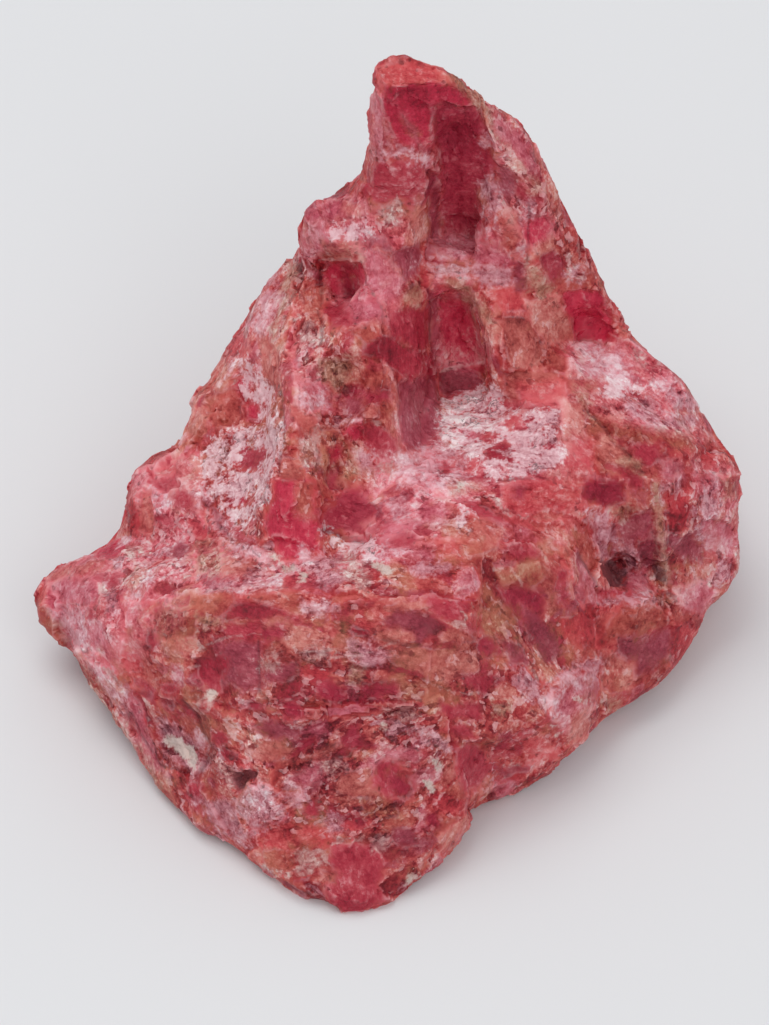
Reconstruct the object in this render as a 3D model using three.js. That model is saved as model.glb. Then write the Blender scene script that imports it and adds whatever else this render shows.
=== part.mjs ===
// A rough lump of massive rhodonite, broken from the vein on every side. It stands on a flattish break,
// with a fin-like peak at the back, a pillar running down from its left shoulder, a pale shelf beside the
// pillar, a broad rounded belly below them, and a long front face that runs down to a blunt toe.
//
// The lump is one closed surface, made of a front skin and a back skin that meet along the skyline. The
// corners are set out by hand and joined into triangles, which are split down to FACET_EDGE. Small cleavage
// facets are then pressed into the split surface.

import * as THREE from "three";
import { ConvexHull } from "three/addons/math/ConvexHull.js";

// ---- driving dimensions -------------------------------------------------------------------------

const WIDTH = 100; // mm, from the left corner to the right flank
const FACET_EDGE = 3.9; // mm, longest edge of a triangle
const CLEAVAGE_SPACING = 7; // mm, least distance between the middles of neighbouring cleavage facets
const CLEAVAGE_DEPTH = 1.2; // mm, most that a facet stands out or lies back
const CLEAVAGE_TILT = THREE.MathUtils.degToRad(24); // most that a facet leans from the surface it breaks
const STEEPEST_FACET = 0.5; // cosine of the steepest lean that a point is moved for
const SKYLINE_MARGIN = 0.6; // cosine to the sight line at which a facet has its full depth
const SKYLINE_SHARE = 0.1; // share of the depth that is left on the skyline itself
const FOOT_CLEARANCE = 0.2; // mm, least height of the broken edge round the sole

// Corners that can be seen from the front are set out as marks on a drawing. The drawing stands square to a
// line of sight that comes down at SIGHT_ANGLE, from a station SIGHT_DISTANCE away.
const SIGHT_ANGLE = THREE.MathUtils.degToRad(45);
const SIGHT_DISTANCE = 12 * WIDTH;
const DRAWN_WIDTH = 705; // drawing units that WIDTH spans
const DRAWN_MIDDLE = { across: 384.5, down: 512.5 };
const UNIT = WIDTH / DRAWN_WIDTH; // mm to a drawing unit
const PERCENT = WIDTH / 100; // heights and plan places are in hundredths of the width

const SKYLINE_EDGE = 2.6; // mm, longest edge along the skyline before the corners are joined
const LOWER_SIDE = -0.1; // a face of the hull belongs to its lower side when its normal dips below this
const SPLITS = [8, 4, 2, 1, 1, 1]; // longest edge after each round of splitting, in final edges
const TURN_PASSES = 8; // most sweeps over the edges in one round of turning
const TURN_LIMIT = 0.3; // cosine of the most that a turned edge may fold the skin
const ANGLE_SLACK = 1e-6; // radians, so that an edge of a flat rectangle isn't turned to and fro
const RELAX_SHARE = 0.5; // part of the way a point slides in one round of relaxing
const ON_THE_GROUND = 0.01; // mm, a point lower than this is part of the sole
const FACET_SEED = 7; // picks the lean of every cleavage facet

// ---- corners ------------------------------------------------------------------------------------

// The skyline, clockwise from the left of the peak: [across, down, height].
const SKYLINE = [
  // peak
  [376, 64, 82], [404, 58.5, 84], [430, 66, 83.5], [447, 75, 82], [458, 75, 81], [470, 86, 79],
  [480, 97, 77],
  // right ridge
  [500, 112, 74], [515, 119, 72], [530, 136, 69], [540, 154, 66], [550, 182, 62], [560, 206, 58.5],
  [570, 220, 56], [585, 252, 51.5], [600, 284, 47], [616, 302, 44], [624, 315, 42], [626, 332, 40],
  [650, 356, 37], [670, 371, 35], [687, 388, 33], [700, 411, 30.5], [718, 436, 28], [730, 456, 26],
  // right flank
  [739, 472, 25], [741, 494, 22], [736, 505, 20.5], [740, 525, 18.5], [741, 545, 16], [734, 556, 14],
  [735, 580, 11],
  // right foot
  [722, 592, 9], [708, 610, 7], [697, 630, 6], [686, 652, 5], [672, 672, 4.5], [645, 694, 4], [622, 708, 4],
  [601, 717, 5], [588, 736, 4], [568, 757, 3], [540, 778, 2.5], [512, 797, 2], [490, 806, 2], [478, 802, 4],
  // toe
  [468, 822, 4], [458, 842, 3], [440, 864, 1.5], [415, 888, 0.5], [392, 905, 0], [365, 914, 0],
  [340, 914, 0], [320, 902, 0], [300, 902, 0], [280, 889, 0], [258, 868, 0.5], [237, 850, 1],
  [224, 838, 1.5],
  // left foot
  [213, 834, 1.5], [195, 825, 2], [178, 808, 2], [163, 788, 2], [148, 770, 2], [135, 745, 2.5],
  [118, 722, 3], [100, 702, 3], [88, 682, 3.5], [84, 668, 5], [68, 652, 6], [52, 636, 7], [42, 620, 8],
  [36, 602, 9.5],
  // left corner and left ridge
  [40, 588, 11], [46, 573, 13], [75, 560, 15], [92, 555, 16], [104, 549, 17], [115, 535, 18],
  [127, 518, 19], [128, 500, 20], [126, 484, 21], [140, 470, 22], [152, 457, 23], [165, 450, 24],
  [181, 442, 25], [186, 428, 26], [190, 405, 28], [195, 394, 29], [207, 382, 30], [218, 362, 32],
  [228, 345, 34], [244, 329, 36], [250, 310, 38], [258, 297, 40], [272, 278, 42.5], [285, 268, 44.5],
  [297, 259, 48], [298, 240, 52], [299, 228, 54],
  // left shoulder and the peak's left edge
  [304, 210, 57], [320, 201, 59], [340, 196, 60], [353, 192, 60.5], [354, 178, 62], [360, 170, 64],
  [369, 162, 66], [370, 145, 69], [369, 120, 73], [371, 95, 77], [374, 78, 80],
];

// The front, within the skyline: [across, down, height].
const FRONT = {
  peakRim: [[388, 80, 82], [418, 80, 82.5], [450, 88, 80.5], [470, 102, 77.5]],
  peakFace: [[384, 110, 76.5], [400, 112, 77.5], [415, 125, 75], [385, 148, 70.5], [408, 150, 70.5],
    [428, 150, 69]],
  peakLedge: [[381, 163, 68], [400, 164, 68.5], [425, 165, 67.5]],
  peakBlock: [[378, 202, 61.5], [400, 203, 61.8], [418, 208, 61], [428, 200, 62], [366, 185, 63.5]],
  peakGully: [[440, 112, 76.5], [452, 130, 71], [446, 170, 63], [456, 210, 55.5], [470, 238, 51],
    [438, 235, 53.5], [475, 175, 63.5], [486, 215, 57]],
  peakRightEdge: [[488, 130, 73], [498, 160, 68], [508, 195, 62.5], [503, 240, 56]],
  rightFlankTop: [[530, 165, 66], [532, 200, 61.5], [525, 235, 57], [555, 235, 55], [540, 262, 52.5],
    [570, 262, 50]],
  upperLedge: [[435, 262, 53], [468, 266, 52.5], [505, 266, 53], [430, 245, 55]],
  rightWindow: [[565, 292, 47], [593, 293, 45.5], [576, 343, 38.5], [613, 343, 38.5], [590, 318, 41.5]],
  rightKnob: [[545, 300, 47.5], [545, 328, 43.5], [525, 285, 50]],
  bowlRim: [[445, 281, 51.5], [472, 292, 50], [484, 315, 47.5], [492, 345, 44.5], [500, 378, 40.5]],
  bowlWall: [[440, 298, 46.5], [466, 318, 42.5], [476, 350, 39], [452, 345, 39.5], [450, 368, 36.5],
    [483, 370, 37]],
  bowlFoot: [[445, 392, 34.5], [470, 388, 35], [493, 395, 36]],
  crease: [[426, 280, 52], [430, 305, 47.5], [434, 340, 42], [438, 372, 37.5]],
  pillarSide: [[385, 330, 50], [398, 378, 45], [396, 420, 41.5], [401, 453, 38], [420, 400, 40],
    [441, 442, 36], [415, 330, 48], [440, 410, 35]],
  pillarTop: [[400, 300, 52], [405, 275, 54], [385, 258, 56], [385, 238, 58.5], [412, 240, 57.5],
    [408, 218, 60]],
  shoulder: [[318, 215, 59], [345, 222, 58.8], [370, 222, 59], [310, 240, 55.5], [338, 245, 57],
    [365, 248, 56.5]],
  shoulderWindow: [[322, 262, 52], [358, 260, 53], [325, 296, 46.5], [355, 298, 47]],
  pillarFace: [[303, 275, 50.5], [300, 305, 48], [345, 306, 48.5], [375, 285, 53], [365, 320, 51],
    [312, 332, 47.5], [350, 350, 48.5], [320, 360, 47], [345, 388, 43], [375, 385, 45.5], [310, 400, 44.5],
    [345, 420, 43], [375, 422, 43], [302, 440, 43], [345, 452, 40.5], [378, 456, 39]],
  pillarFoot: [[328, 476, 38.5], [358, 480, 38], [285, 480, 42], [302, 502, 41], [316, 500, 39.5],
    [295, 553, 35], [320, 555, 34], [272, 553, 33.5], [345, 496, 38], [345, 516, 34.5], [345, 534, 34],
    [380, 505, 37]],
  pillarLeftEdge: [[305, 265, 50], [287, 300, 47.5], [279, 350, 46], [280, 400, 44], [284, 440, 43],
    [275, 480, 41], [270, 520, 37.5]],
  leftBump: [[272, 300, 44.5], [263, 335, 42], [262, 370, 38.5], [268, 398, 36.5]],
  leftHollow: [[252, 380, 35.5], [268, 425, 35], [264, 462, 34], [255, 500, 32.5], [235, 440, 31],
    [225, 480, 29], [215, 512, 28]],
  leftRidge: [[240, 348, 37.5], [228, 375, 35], [215, 402, 32], [202, 430, 29], [205, 460, 27.5],
    [176, 458, 26.5], [150, 480, 25], [180, 482, 27], [140, 500, 23], [170, 512, 26], [197, 520, 26.5],
    [150, 530, 22], [130, 545, 19]],
  leftSlope: [[190, 550, 26], [230, 540, 30], [250, 562, 32], [215, 576, 29.5], [170, 580, 26.5],
    [120, 570, 21], [80, 572, 17], [62, 585, 14.5], [95, 592, 19.5], [60, 608, 12.5], [90, 622, 17],
    [130, 610, 23.5]],
  bellyEdge: [[170, 610, 28], [215, 602, 31], [260, 596, 33.5], [310, 590, 34.5], [360, 576, 35.5],
    [400, 562, 36], [440, 550, 36.5], [472, 540, 36.5], [345, 560, 34], [390, 540, 36.5], [420, 520, 37.5],
    [470, 510, 37]],
  shelf: [[440, 492, 38], [402, 472, 38], [490, 430, 36.5], [450, 420, 36], [500, 470, 37.5],
    [455, 460, 37], [545, 456, 37], [520, 410, 38.5]],
  rightSlope: [[510, 330, 46.5], [540, 362, 42.5], [512, 385, 39.5], [560, 392, 39.5], [600, 370, 38.5],
    [640, 372, 36], [560, 430, 37.5], [602, 408, 38], [598, 442, 35], [590, 462, 34.5], [520, 300, 49]],
  rightHump: [[622, 428, 37.5], [642, 442, 35.5], [660, 402, 35], [682, 422, 33], [702, 452, 29.5],
    [660, 456, 34], [626, 460, 34.5], [672, 390, 34.5], [722, 470, 26.5]],
  band: [[510, 484, 36.5], [580, 484, 34], [540, 512, 32], [585, 512, 30], [506, 514, 34.5],
    [545, 480, 36.5]],
  blades: [[600, 490, 32], [640, 490, 31], [666, 488, 30.5], [700, 486, 27.5], [720, 502, 23.5],
    [602, 530, 26.5], [640, 530, 24.5], [664, 530, 25.5], [700, 530, 21], [725, 542, 16.5],
    [640, 556, 21.5], [676, 560, 19.5]],
  bladePits: [[614, 566, 17.5], [657, 566, 17], [600, 560, 23]],
  rightLip: [[640, 582, 19], [602, 590, 21], [690, 582, 14.5], [714, 576, 12.5], [620, 584, 20]],
  lowerBlock: [[592, 606, 20], [640, 602, 18], [690, 600, 13], [640, 632, 14], [612, 642, 14],
    [662, 660, 8], [626, 670, 9.5], [612, 692, 8], [684, 622, 9.5]],
  middleRight: [[540, 552, 31.5], [520, 572, 30], [505, 602, 28.5], [530, 612, 25.5], [552, 600, 27.5],
    [560, 640, 20.5], [544, 652, 19], [580, 560, 28], [565, 600, 24], [582, 590, 25.5], [582, 630, 19],
    [602, 652, 13.5], [510, 542, 34.5]],
  knuckle: [[562, 664, 19], [546, 690, 18.5], [582, 680, 15.5], [592, 702, 10.5], [570, 722, 11.5],
    [545, 735, 12.5], [520, 722, 16.5], [502, 750, 11.5], [540, 758, 6.5], [510, 780, 4.5], [482, 780, 7.5],
    [495, 796, 3.6]],
  frontFace: [[350, 640, 31.5], [350, 680, 27], [350, 722, 22.5], [350, 760, 18.5], [350, 800, 14],
    [350, 842, 9.5], [350, 882, 4.5], [250, 640, 30], [250, 680, 25.5], [250, 722, 20.5], [250, 760, 15],
    [250, 800, 10.5], [250, 838, 5], [200, 640, 27], [200, 680, 22.5], [200, 722, 17], [205, 760, 11.5],
    [150, 640, 22.5], [110, 640, 18], [300, 640, 32], [300, 682, 27.5], [300, 722, 23.5], [300, 760, 17.5],
    [300, 802, 13], [300, 850, 7], [300, 882, 2.5], [400, 602, 34.5], [400, 640, 31], [400, 682, 27],
    [400, 722, 21.5], [400, 762, 17.5], [400, 802, 12.5], [400, 850, 6.5], [432, 820, 9.5],
    [450, 602, 33.5], [450, 640, 30], [450, 682, 25.5], [450, 722, 20.5], [450, 762, 15], [450, 800, 9.5],
    [500, 642, 26], [490, 682, 22.5], [490, 722, 18.5], [480, 750, 14]],
  leftFlank: [[86, 655, 10.5], [125, 682, 13], [155, 706, 12], [185, 750, 9], [210, 796, 6],
    [112, 668, 13.5]],
};

// The back and the foot, which no line of sight reaches: [x, y, height] in hundredths of the width.
const BACK = {
  foot: [[-44, -24, 4], [-40, -13, 2], [-34.5, -5, 2], [-32, 4, 2.5], [-26, 12, 2], [-17, 20, 2],
    [-8, 26, 2], [3, 29, 3], [14, 29, 2], [24, 26, 2], [33, 21, 3], [41, 14, 2], [46, 6, 2.5],
    [47.5, -4, 3], [47.5, -13, 4]],
  low: [[-43.5, -25, 10], [-35.5, -15, 12], [-31.5, -6, 13], [-28, 0, 11], [-25, 8, 14], [-16, 18, 13],
    [-7, 22, 17], [4, 27, 14], [15, 26, 17], [25, 23, 14], [34, 16, 16], [41.5, 9, 13], [45, 0, 14],
    [47.5, -10, 13]],
  middle: [[-25.5, -4, 24], [-19, 7, 29], [-11, 18, 30], [-2, 24, 32], [8, 28, 29], [18, 24, 32],
    [27, 17, 30], [34, 5.5, 28], [39, -3, 28], [44, -9, 24], [-27.5, -8.5, 19.5]],
  high: [[-14, 1, 43], [-7, 14, 43], [3, 20, 47], [13, 22, 44], [22, 16, 46], [27, 8, 42.5], [31, 2, 38]],
  crest: [[-8.5, 5, 54], [0, 14, 57], [6, 17, 62], [14, 17, 58], [21, 11, 57], [1, 10.5, 72], [8, 10.5, 72],
    [14.5, 8.3, 68.5], [4.5, 6.5, 78]],
  sole: [[-39, -31, 0], [-35, -20, 0], [-31, -8, 0], [-23, 4, 0], [-13, 15, 0], [0, 22, 0], [14, 22, 0],
    [26, 17, 0], [36, 9, 0], [43, -1, 0], [45, -12, 0], [40.5, -24, 0], [35, -33, 0], [27, -42, 0],
    [18, -50, 0], [9, -60, 0], [3, -69, 0], [-33, -42, 0], [-27, -53, 0], [-20, -62, 0], [-8, -26, 0],
    [18, -20, 0], [-12, -55, 0], [-5, -2, 0]],
};

// ---- setting out --------------------------------------------------------------------------------

const TO_STATION = new THREE.Vector3(0, -Math.cos(SIGHT_ANGLE), Math.sin(SIGHT_ANGLE));
const UP_THE_DRAWING = new THREE.Vector3(0, Math.sin(SIGHT_ANGLE), Math.cos(SIGHT_ANGLE));

// The point that the sight line through a drawing mark passes at the stated height.
function sighted([across, down, height]) {
  const station = TO_STATION.clone().multiplyScalar(SIGHT_DISTANCE);
  const mark = UP_THE_DRAWING.clone().multiplyScalar((DRAWN_MIDDLE.down - down) * UNIT);
  mark.x = (across - DRAWN_MIDDLE.across) * UNIT;
  const share = (station.z - height * PERCENT) / (station.z - mark.z);
  return station.lerp(mark, share);
}

// A point from its place in plan and its height.
function placed([x, y, height]) {
  return new THREE.Vector3(x, y, height).multiplyScalar(PERCENT);
}

// Where the sight line to a point crosses the drawing, in widths: [to the right, up].
function drawn(point) {
  const share = SIGHT_DISTANCE / (SIGHT_DISTANCE - point.dot(TO_STATION)) / WIDTH;
  return [point.x * share, point.dot(UP_THE_DRAWING) * share];
}

function isInside([x, y], outline) {
  let inside = false;
  outline.forEach(([x1, y1], i) => {
    const [x2, y2] = outline[(i + 1) % outline.length];
    if (y1 > y !== y2 > y && x < x1 + ((x2 - x1) * (y - y1)) / (y2 - y1)) inside = !inside;
  });
  return inside;
}

// Adds points along a closed line until no step is longer than the limit.
function filled(line, limit) {
  return line.flatMap((p, i) => {
    const next = line[(i + 1) % line.length];
    const steps = Math.ceil(p.distanceTo(next) / limit);
    return Array.from({ length: steps }, (_, k) => p.clone().lerp(next, k / steps));
  });
}

// Joins a skin's corners into triangles that face the station. The first ones, outlineCount of them, are
// its edge. The triangles are the lower side of a hull round the drawn corners, each lifted by its distance
// squared.
function joined(corners, outlineCount) {
  const flat = corners.map(drawn);
  const outline = flat.slice(0, outlineCount);
  const lifted = flat.map(([x, y]) => new THREE.Vector3(x, y, x * x + y * y));
  const numbers = new Map(lifted.map((p, i) => [p, i]));
  const lower = new ConvexHull().setFromPoints(lifted).faces.filter((face) => face.normal.z < LOWER_SIDE);
  const number = (edge) => numbers.get(edge.vertex.point);
  const triangles = lower.map(({ edge }) => [edge.next, edge, edge.prev].map(number));
  return triangles.filter((triangle) => {
    const centre = [0, 1].map((axis) => triangle.reduce((sum, i) => sum + flat[i][axis] / 3, 0));
    return isInside(centre, outline);
  });
}

// Halves every edge longer than the limit until none is left. It adds to points and returns the new
// triangles.
function split(points, triangles, limit) {
  const middles = new Map();
  const middle = (a, b) => {
    if (points[a].distanceTo(points[b]) <= limit) return undefined;
    const key = a < b ? a + "_" + b : b + "_" + a;
    if (!middles.has(key)) middles.set(key, points.push(points[a].clone().lerp(points[b], 0.5)) - 1);
    return middles.get(key);
  };
  const made = triangles.flatMap(([a, b, c]) => {
    const halves = [middle(a, b), middle(b, c), middle(c, a)];
    const cut = halves.filter((m) => m !== undefined).length;
    const [ab, bc, ca] = halves;
    if (cut === 0) return [[a, b, c]];
    if (cut === 3) return [[a, ab, ca], [ab, b, bc], [ca, bc, c], [ab, bc, ca]];
    if (cut === 1) {
      if (ab !== undefined) return [[a, ab, c], [ab, b, c]];
      if (bc !== undefined) return [[a, b, bc], [a, bc, c]];
      return [[a, b, ca], [ca, b, c]];
    }
    if (ab === undefined) return [[a, b, bc], [a, bc, ca], [ca, bc, c]];
    if (bc === undefined) return [[b, c, ca], [b, ca, ab], [ab, ca, a]];
    return [[c, a, ab], [c, ab, bc], [bc, ab, b]];
  });
  return middles.size ? split(points, made, limit) : made;
}

function geometryOf(points, triangles) {
  const geometry = new THREE.BufferGeometry().setFromPoints(points);
  geometry.setIndex(triangles.flat());
  geometry.computeVertexNormals();
  return geometry;
}

function normalsOf(points, triangles) {
  const normals = geometryOf(points, triangles).getAttribute("normal");
  return points.map((_, i) => new THREE.Vector3().fromBufferAttribute(normals, i));
}

// Turns the shared edge of two triangles across their other corners wherever that makes them less slender.
function turned(points, triangles) {
  const made = triangles.map((t) => [...t]);
  const owners = new Map();
  const key = (a, b) => a + "_" + b;
  made.forEach((t, n) => t.forEach((a, k) => owners.set(key(a, t[(k + 1) % 3]), n)));
  const corner = (at, a, b) => points[a].clone().sub(points[at]).angleTo(points[b].clone().sub(points[at]));
  const facing = (...corners) => {
    const triangle = new THREE.Triangle(...corners.map((i) => points[i]));
    return triangle.getNormal(new THREE.Vector3());
  };
  for (let pass = 0, count = 1; pass < TURN_PASSES && count > 0; pass += 1) {
    count = 0;
    for (const [edge, n] of [...owners]) {
      const [a, b] = edge.split("_").map(Number);
      const m = owners.get(key(b, a));
      if (owners.get(edge) !== n || m === undefined || a > b) continue;
      const c = made[n].find((i) => i !== a && i !== b);
      const d = made[m].find((i) => i !== a && i !== b);
      const slender = corner(c, a, b) + corner(d, a, b) > Math.PI + ANGLE_SLACK;
      if (!slender || owners.has(key(c, d)) || owners.has(key(d, c))) continue;
      const before = facing(a, b, c).add(facing(b, a, d)).normalize();
      if (facing(a, d, c).dot(before) < TURN_LIMIT || facing(d, b, c).dot(before) < TURN_LIMIT) continue;
      owners.delete(edge);
      owners.delete(key(b, a));
      made[n] = [a, d, c];
      made[m] = [d, b, c];
      [n, m].forEach((o) => made[o].forEach((i, k) => owners.set(key(i, made[o][(k + 1) % 3]), o)));
      count += 1;
    }
  }
  return made;
}

// Slides the points from firstFree on along the skin, towards the middle of their neighbours.
function relaxed(points, triangles, firstFree) {
  const normals = normalsOf(points, triangles);
  const sums = points.map(() => new THREE.Vector3());
  const counts = points.map(() => 0);
  triangles.forEach((t) => t.forEach((a, k) => {
    sums[a].add(points[t[(k + 1) % 3]]);
    counts[a] += 1;
  }));
  return points.map((p, i) => {
    if (i < firstFree) return p;
    const step = sums[i].divideScalar(counts[i]).sub(p);
    step.addScaledVector(normals[i], -step.dot(normals[i]));
    const moved = p.clone().addScaledVector(step, RELAX_SHARE);
    moved.z = p.z < ON_THE_GROUND ? p.z : Math.max(moved.z, 0);
    return moved;
  });
}

// Splits and relaxes the skin by turns until no edge is longer than the limit.
function evened(corners, triangles, limit) {
  let points = [...corners];
  let skinTriangles = turned(points, triangles);
  for (const share of SPLITS) {
    skinTriangles = turned(points, split(points, skinTriangles, limit * share));
    points = relaxed(points, skinTriangles, corners.length);
    points = relaxed(points, skinTriangles, corners.length);
  }
  return { points, triangles: turned(points, skinTriangles) };
}

// ---- cleavage facets ----------------------------------------------------------------------------

// Numbers from 0 to 1 that come out the same every time.
function dice(seed) {
  let state = seed;
  return () => {
    state = (state * 1664525 + 1013904223) % 4294967296;
    return state / 4294967296;
  };
}

// Presses flat facets into the skin. Each point goes towards the plane of the facet whose middle is nearest
// to it.
function cleaved(points, normals) {
  const roll = dice(FACET_SEED);
  const facets = [];
  points.forEach((p, i) => {
    if (facets.some((facet) => facet.middle.distanceTo(p) < CLEAVAGE_SPACING)) return;
    const lean = new THREE.Vector3(roll() - 0.5, roll() - 0.5, roll() - 0.5).normalize();
    const facing = normals[i].clone().addScaledVector(lean, Math.tan(CLEAVAGE_TILT * roll())).normalize();
    facets.push({ middle: p.clone(), facing });
  });
  return points.map((p, i) => {
    if (p.z < ON_THE_GROUND) return p.clone();
    const offset = (facet) => facet.middle.clone().sub(p);
    const nearest = facets.reduce((a, b) => (offset(a).lengthSq() < offset(b).lengthSq() ? a : b));
    const steepness = Math.max(STEEPEST_FACET, normals[i].dot(nearest.facing));
    const gap = offset(nearest).dot(nearest.facing) / steepness;
    // Next to the skyline the facets are shallow, so that the outline stays as it was set out.
    const inView = THREE.MathUtils.smoothstep(Math.abs(normals[i].dot(TO_STATION)), 0, SKYLINE_MARGIN);
    const depth = CLEAVAGE_DEPTH * THREE.MathUtils.lerp(SKYLINE_SHARE, 1, inView);
    const moved = p.clone().addScaledVector(normals[i], THREE.MathUtils.clamp(gap, -depth, depth));
    moved.z = Math.max(moved.z, FOOT_CLEARANCE);
    return moved;
  });
}

// ---- the specimen -------------------------------------------------------------------------------

const skyline = filled(SKYLINE.map(sighted), SKYLINE_EDGE);
const front = [...skyline, ...Object.values(FRONT).flat().map(sighted)];
const back = [...skyline, ...Object.values(BACK).flat().map(placed)];
// The back skin's own points are numbered after those of the front skin, and its triangles are turned to
// face away.
const shifted = (i) => (i < skyline.length ? i : i - skyline.length + front.length);
const frontTriangles = joined(front, skyline.length);
const backTriangles = joined(back, skyline.length).map(([a, b, c]) => [c, b, a].map(shifted));
const corners = [...front, ...back.slice(skyline.length)];
const skin = evened(corners, [...frontTriangles, ...backTriangles], FACET_EDGE);

const stone = geometryOf(cleaved(skin.points, normalsOf(skin.points, skin.triangles)), skin.triangles);
stone.computeBoundingBox();
const middle = stone.boundingBox.getCenter(new THREE.Vector3());
stone.translate(-middle.x, -middle.y, -stone.boundingBox.min.z);

const rhodonite = new THREE.MeshStandardMaterial({ color: 0xb4484f, roughness: 0.55, metalness: 0 });
const specimen = new THREE.Mesh(stone, rhodonite);
specimen.name = "rhodonite";

const group = new THREE.Group();
group.add(specimen);

export default group;
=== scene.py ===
"""A hand specimen of massive rhodonite, lying on its flattest break on a pale floor.

The stone is one piece. Its skin is made from the frame's solid, remeshed finely and then broken into blocks
that follow the cleavage, with windows of clear crystal, grains and crusts where the chart of the front has
them.
"""

import math

import bmesh
import bpy
import numpy as np
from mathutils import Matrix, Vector


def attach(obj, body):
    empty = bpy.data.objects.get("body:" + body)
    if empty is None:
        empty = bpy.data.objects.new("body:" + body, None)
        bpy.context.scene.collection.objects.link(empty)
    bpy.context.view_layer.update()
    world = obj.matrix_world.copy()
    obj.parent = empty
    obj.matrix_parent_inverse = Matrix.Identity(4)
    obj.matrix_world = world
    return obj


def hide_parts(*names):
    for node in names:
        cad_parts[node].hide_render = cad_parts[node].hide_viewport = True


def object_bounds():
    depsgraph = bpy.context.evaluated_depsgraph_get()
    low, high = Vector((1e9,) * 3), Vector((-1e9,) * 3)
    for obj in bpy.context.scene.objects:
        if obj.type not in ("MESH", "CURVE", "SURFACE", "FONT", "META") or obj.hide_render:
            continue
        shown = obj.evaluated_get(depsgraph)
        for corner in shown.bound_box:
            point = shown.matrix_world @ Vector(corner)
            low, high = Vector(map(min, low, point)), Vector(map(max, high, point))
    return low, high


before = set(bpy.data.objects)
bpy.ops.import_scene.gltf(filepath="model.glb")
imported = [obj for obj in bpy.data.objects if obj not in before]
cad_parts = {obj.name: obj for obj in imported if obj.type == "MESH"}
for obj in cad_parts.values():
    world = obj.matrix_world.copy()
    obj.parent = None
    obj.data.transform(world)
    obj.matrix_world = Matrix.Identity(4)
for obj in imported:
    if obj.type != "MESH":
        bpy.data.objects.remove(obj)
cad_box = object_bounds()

MM = 0.001  # m

# ---- setting out ---------------------------------------------------------------------------------

# The stone is seen from SIGHT_DISTANCE away, along a line that comes down at SIGHT_ANGLE to SIGHT_FOOT on
# the floor. Places on its front are marks on a chart that stands square to that line: across,down.
SIGHT_ANGLE = math.radians(45)
SIGHT_DISTANCE = 1200.0  # mm
SIGHT_FOOT = np.array([-0.3, 23.6, 0.0])  # mm
CHART_WIDTH, CHART_HEIGHT = 769, 1025
CHART_UNITS_PER_MM = 7.05

TO_EYE = np.array([0.0, -math.cos(SIGHT_ANGLE), math.sin(SIGHT_ANGLE)])
ACROSS_CHART = np.array([1.0, 0.0, 0.0])
DOWN_CHART = np.array([0.0, -math.sin(SIGHT_ANGLE), -math.cos(SIGHT_ANGLE)])


def charted(points):
    """Where points, in mm, fall on the chart."""
    from_foot = points - SIGHT_FOOT
    scale = CHART_UNITS_PER_MM * SIGHT_DISTANCE / (SIGHT_DISTANCE - from_foot @ TO_EYE)
    across = CHART_WIDTH / 2 + from_foot @ ACROSS_CHART * scale
    down = CHART_HEIGHT / 2 + from_foot @ DOWN_CHART * scale
    return np.stack([across, down], axis=1)


def corners_of(marks):
    """The corners that a line of marks gives, such as "374,68 400,60"."""
    return np.array([mark.split(",") for mark in marks.split()], float)


# ---- the chart of the front ----------------------------------------------------------------------

# Which way the cleavage runs: degrees on the chart (0 across, 90 down, 45 down to the right), and where.
CLEAVAGE = (
    (84, "350,40 480,60 500,130 492,250 430,262 350,250"),  # peak
    (61, "480,80 520,110 640,340 560,300 500,200"),  # its right flank
    (88, "290,180 430,190 436,330 440,450 370,500 290,490"),  # tower and pillar
    (83, "425,270 500,270 500,400 435,400"),  # bowl
    (80, "495,290 575,290 580,370 500,370"),  # steps beside it
    (5, "425,395 570,395 600,480 600,520 480,520 430,480"),  # shelf
    (35, "570,340 700,340 750,480 600,480 565,440"),  # right shoulder
    (84, "590,475 750,475 740,600 600,600"),  # right face
    (-28, "590,600 740,590 690,680 600,730"),  # its foot
    (118, "180,300 290,250 290,330 240,430 180,450"),  # left flank
    (72, "195,430 290,330 300,480 280,570 200,540"),  # left hollow
    (38, "30,520 200,440 210,560 120,660 60,660"),  # left wing
    (8, "200,540 480,540 480,600 200,600"),
    (14, "120,600 340,590 430,620 440,700 200,720 130,690"),  # belly
    (12, "330,600 480,600 480,700 330,710"),
    (50, "480,540 560,540 600,660 540,690 480,640"),
    (33, "430,620 480,640 550,690 600,660 600,720 480,800 430,740"),
    (52, "60,640 100,660 250,850 200,860 60,720"),  # lower left edge
    (20, "160,700 300,710 300,800 240,860"),  # low front
    (-24, "280,720 440,700 470,800 400,900 260,880"),
)

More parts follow.
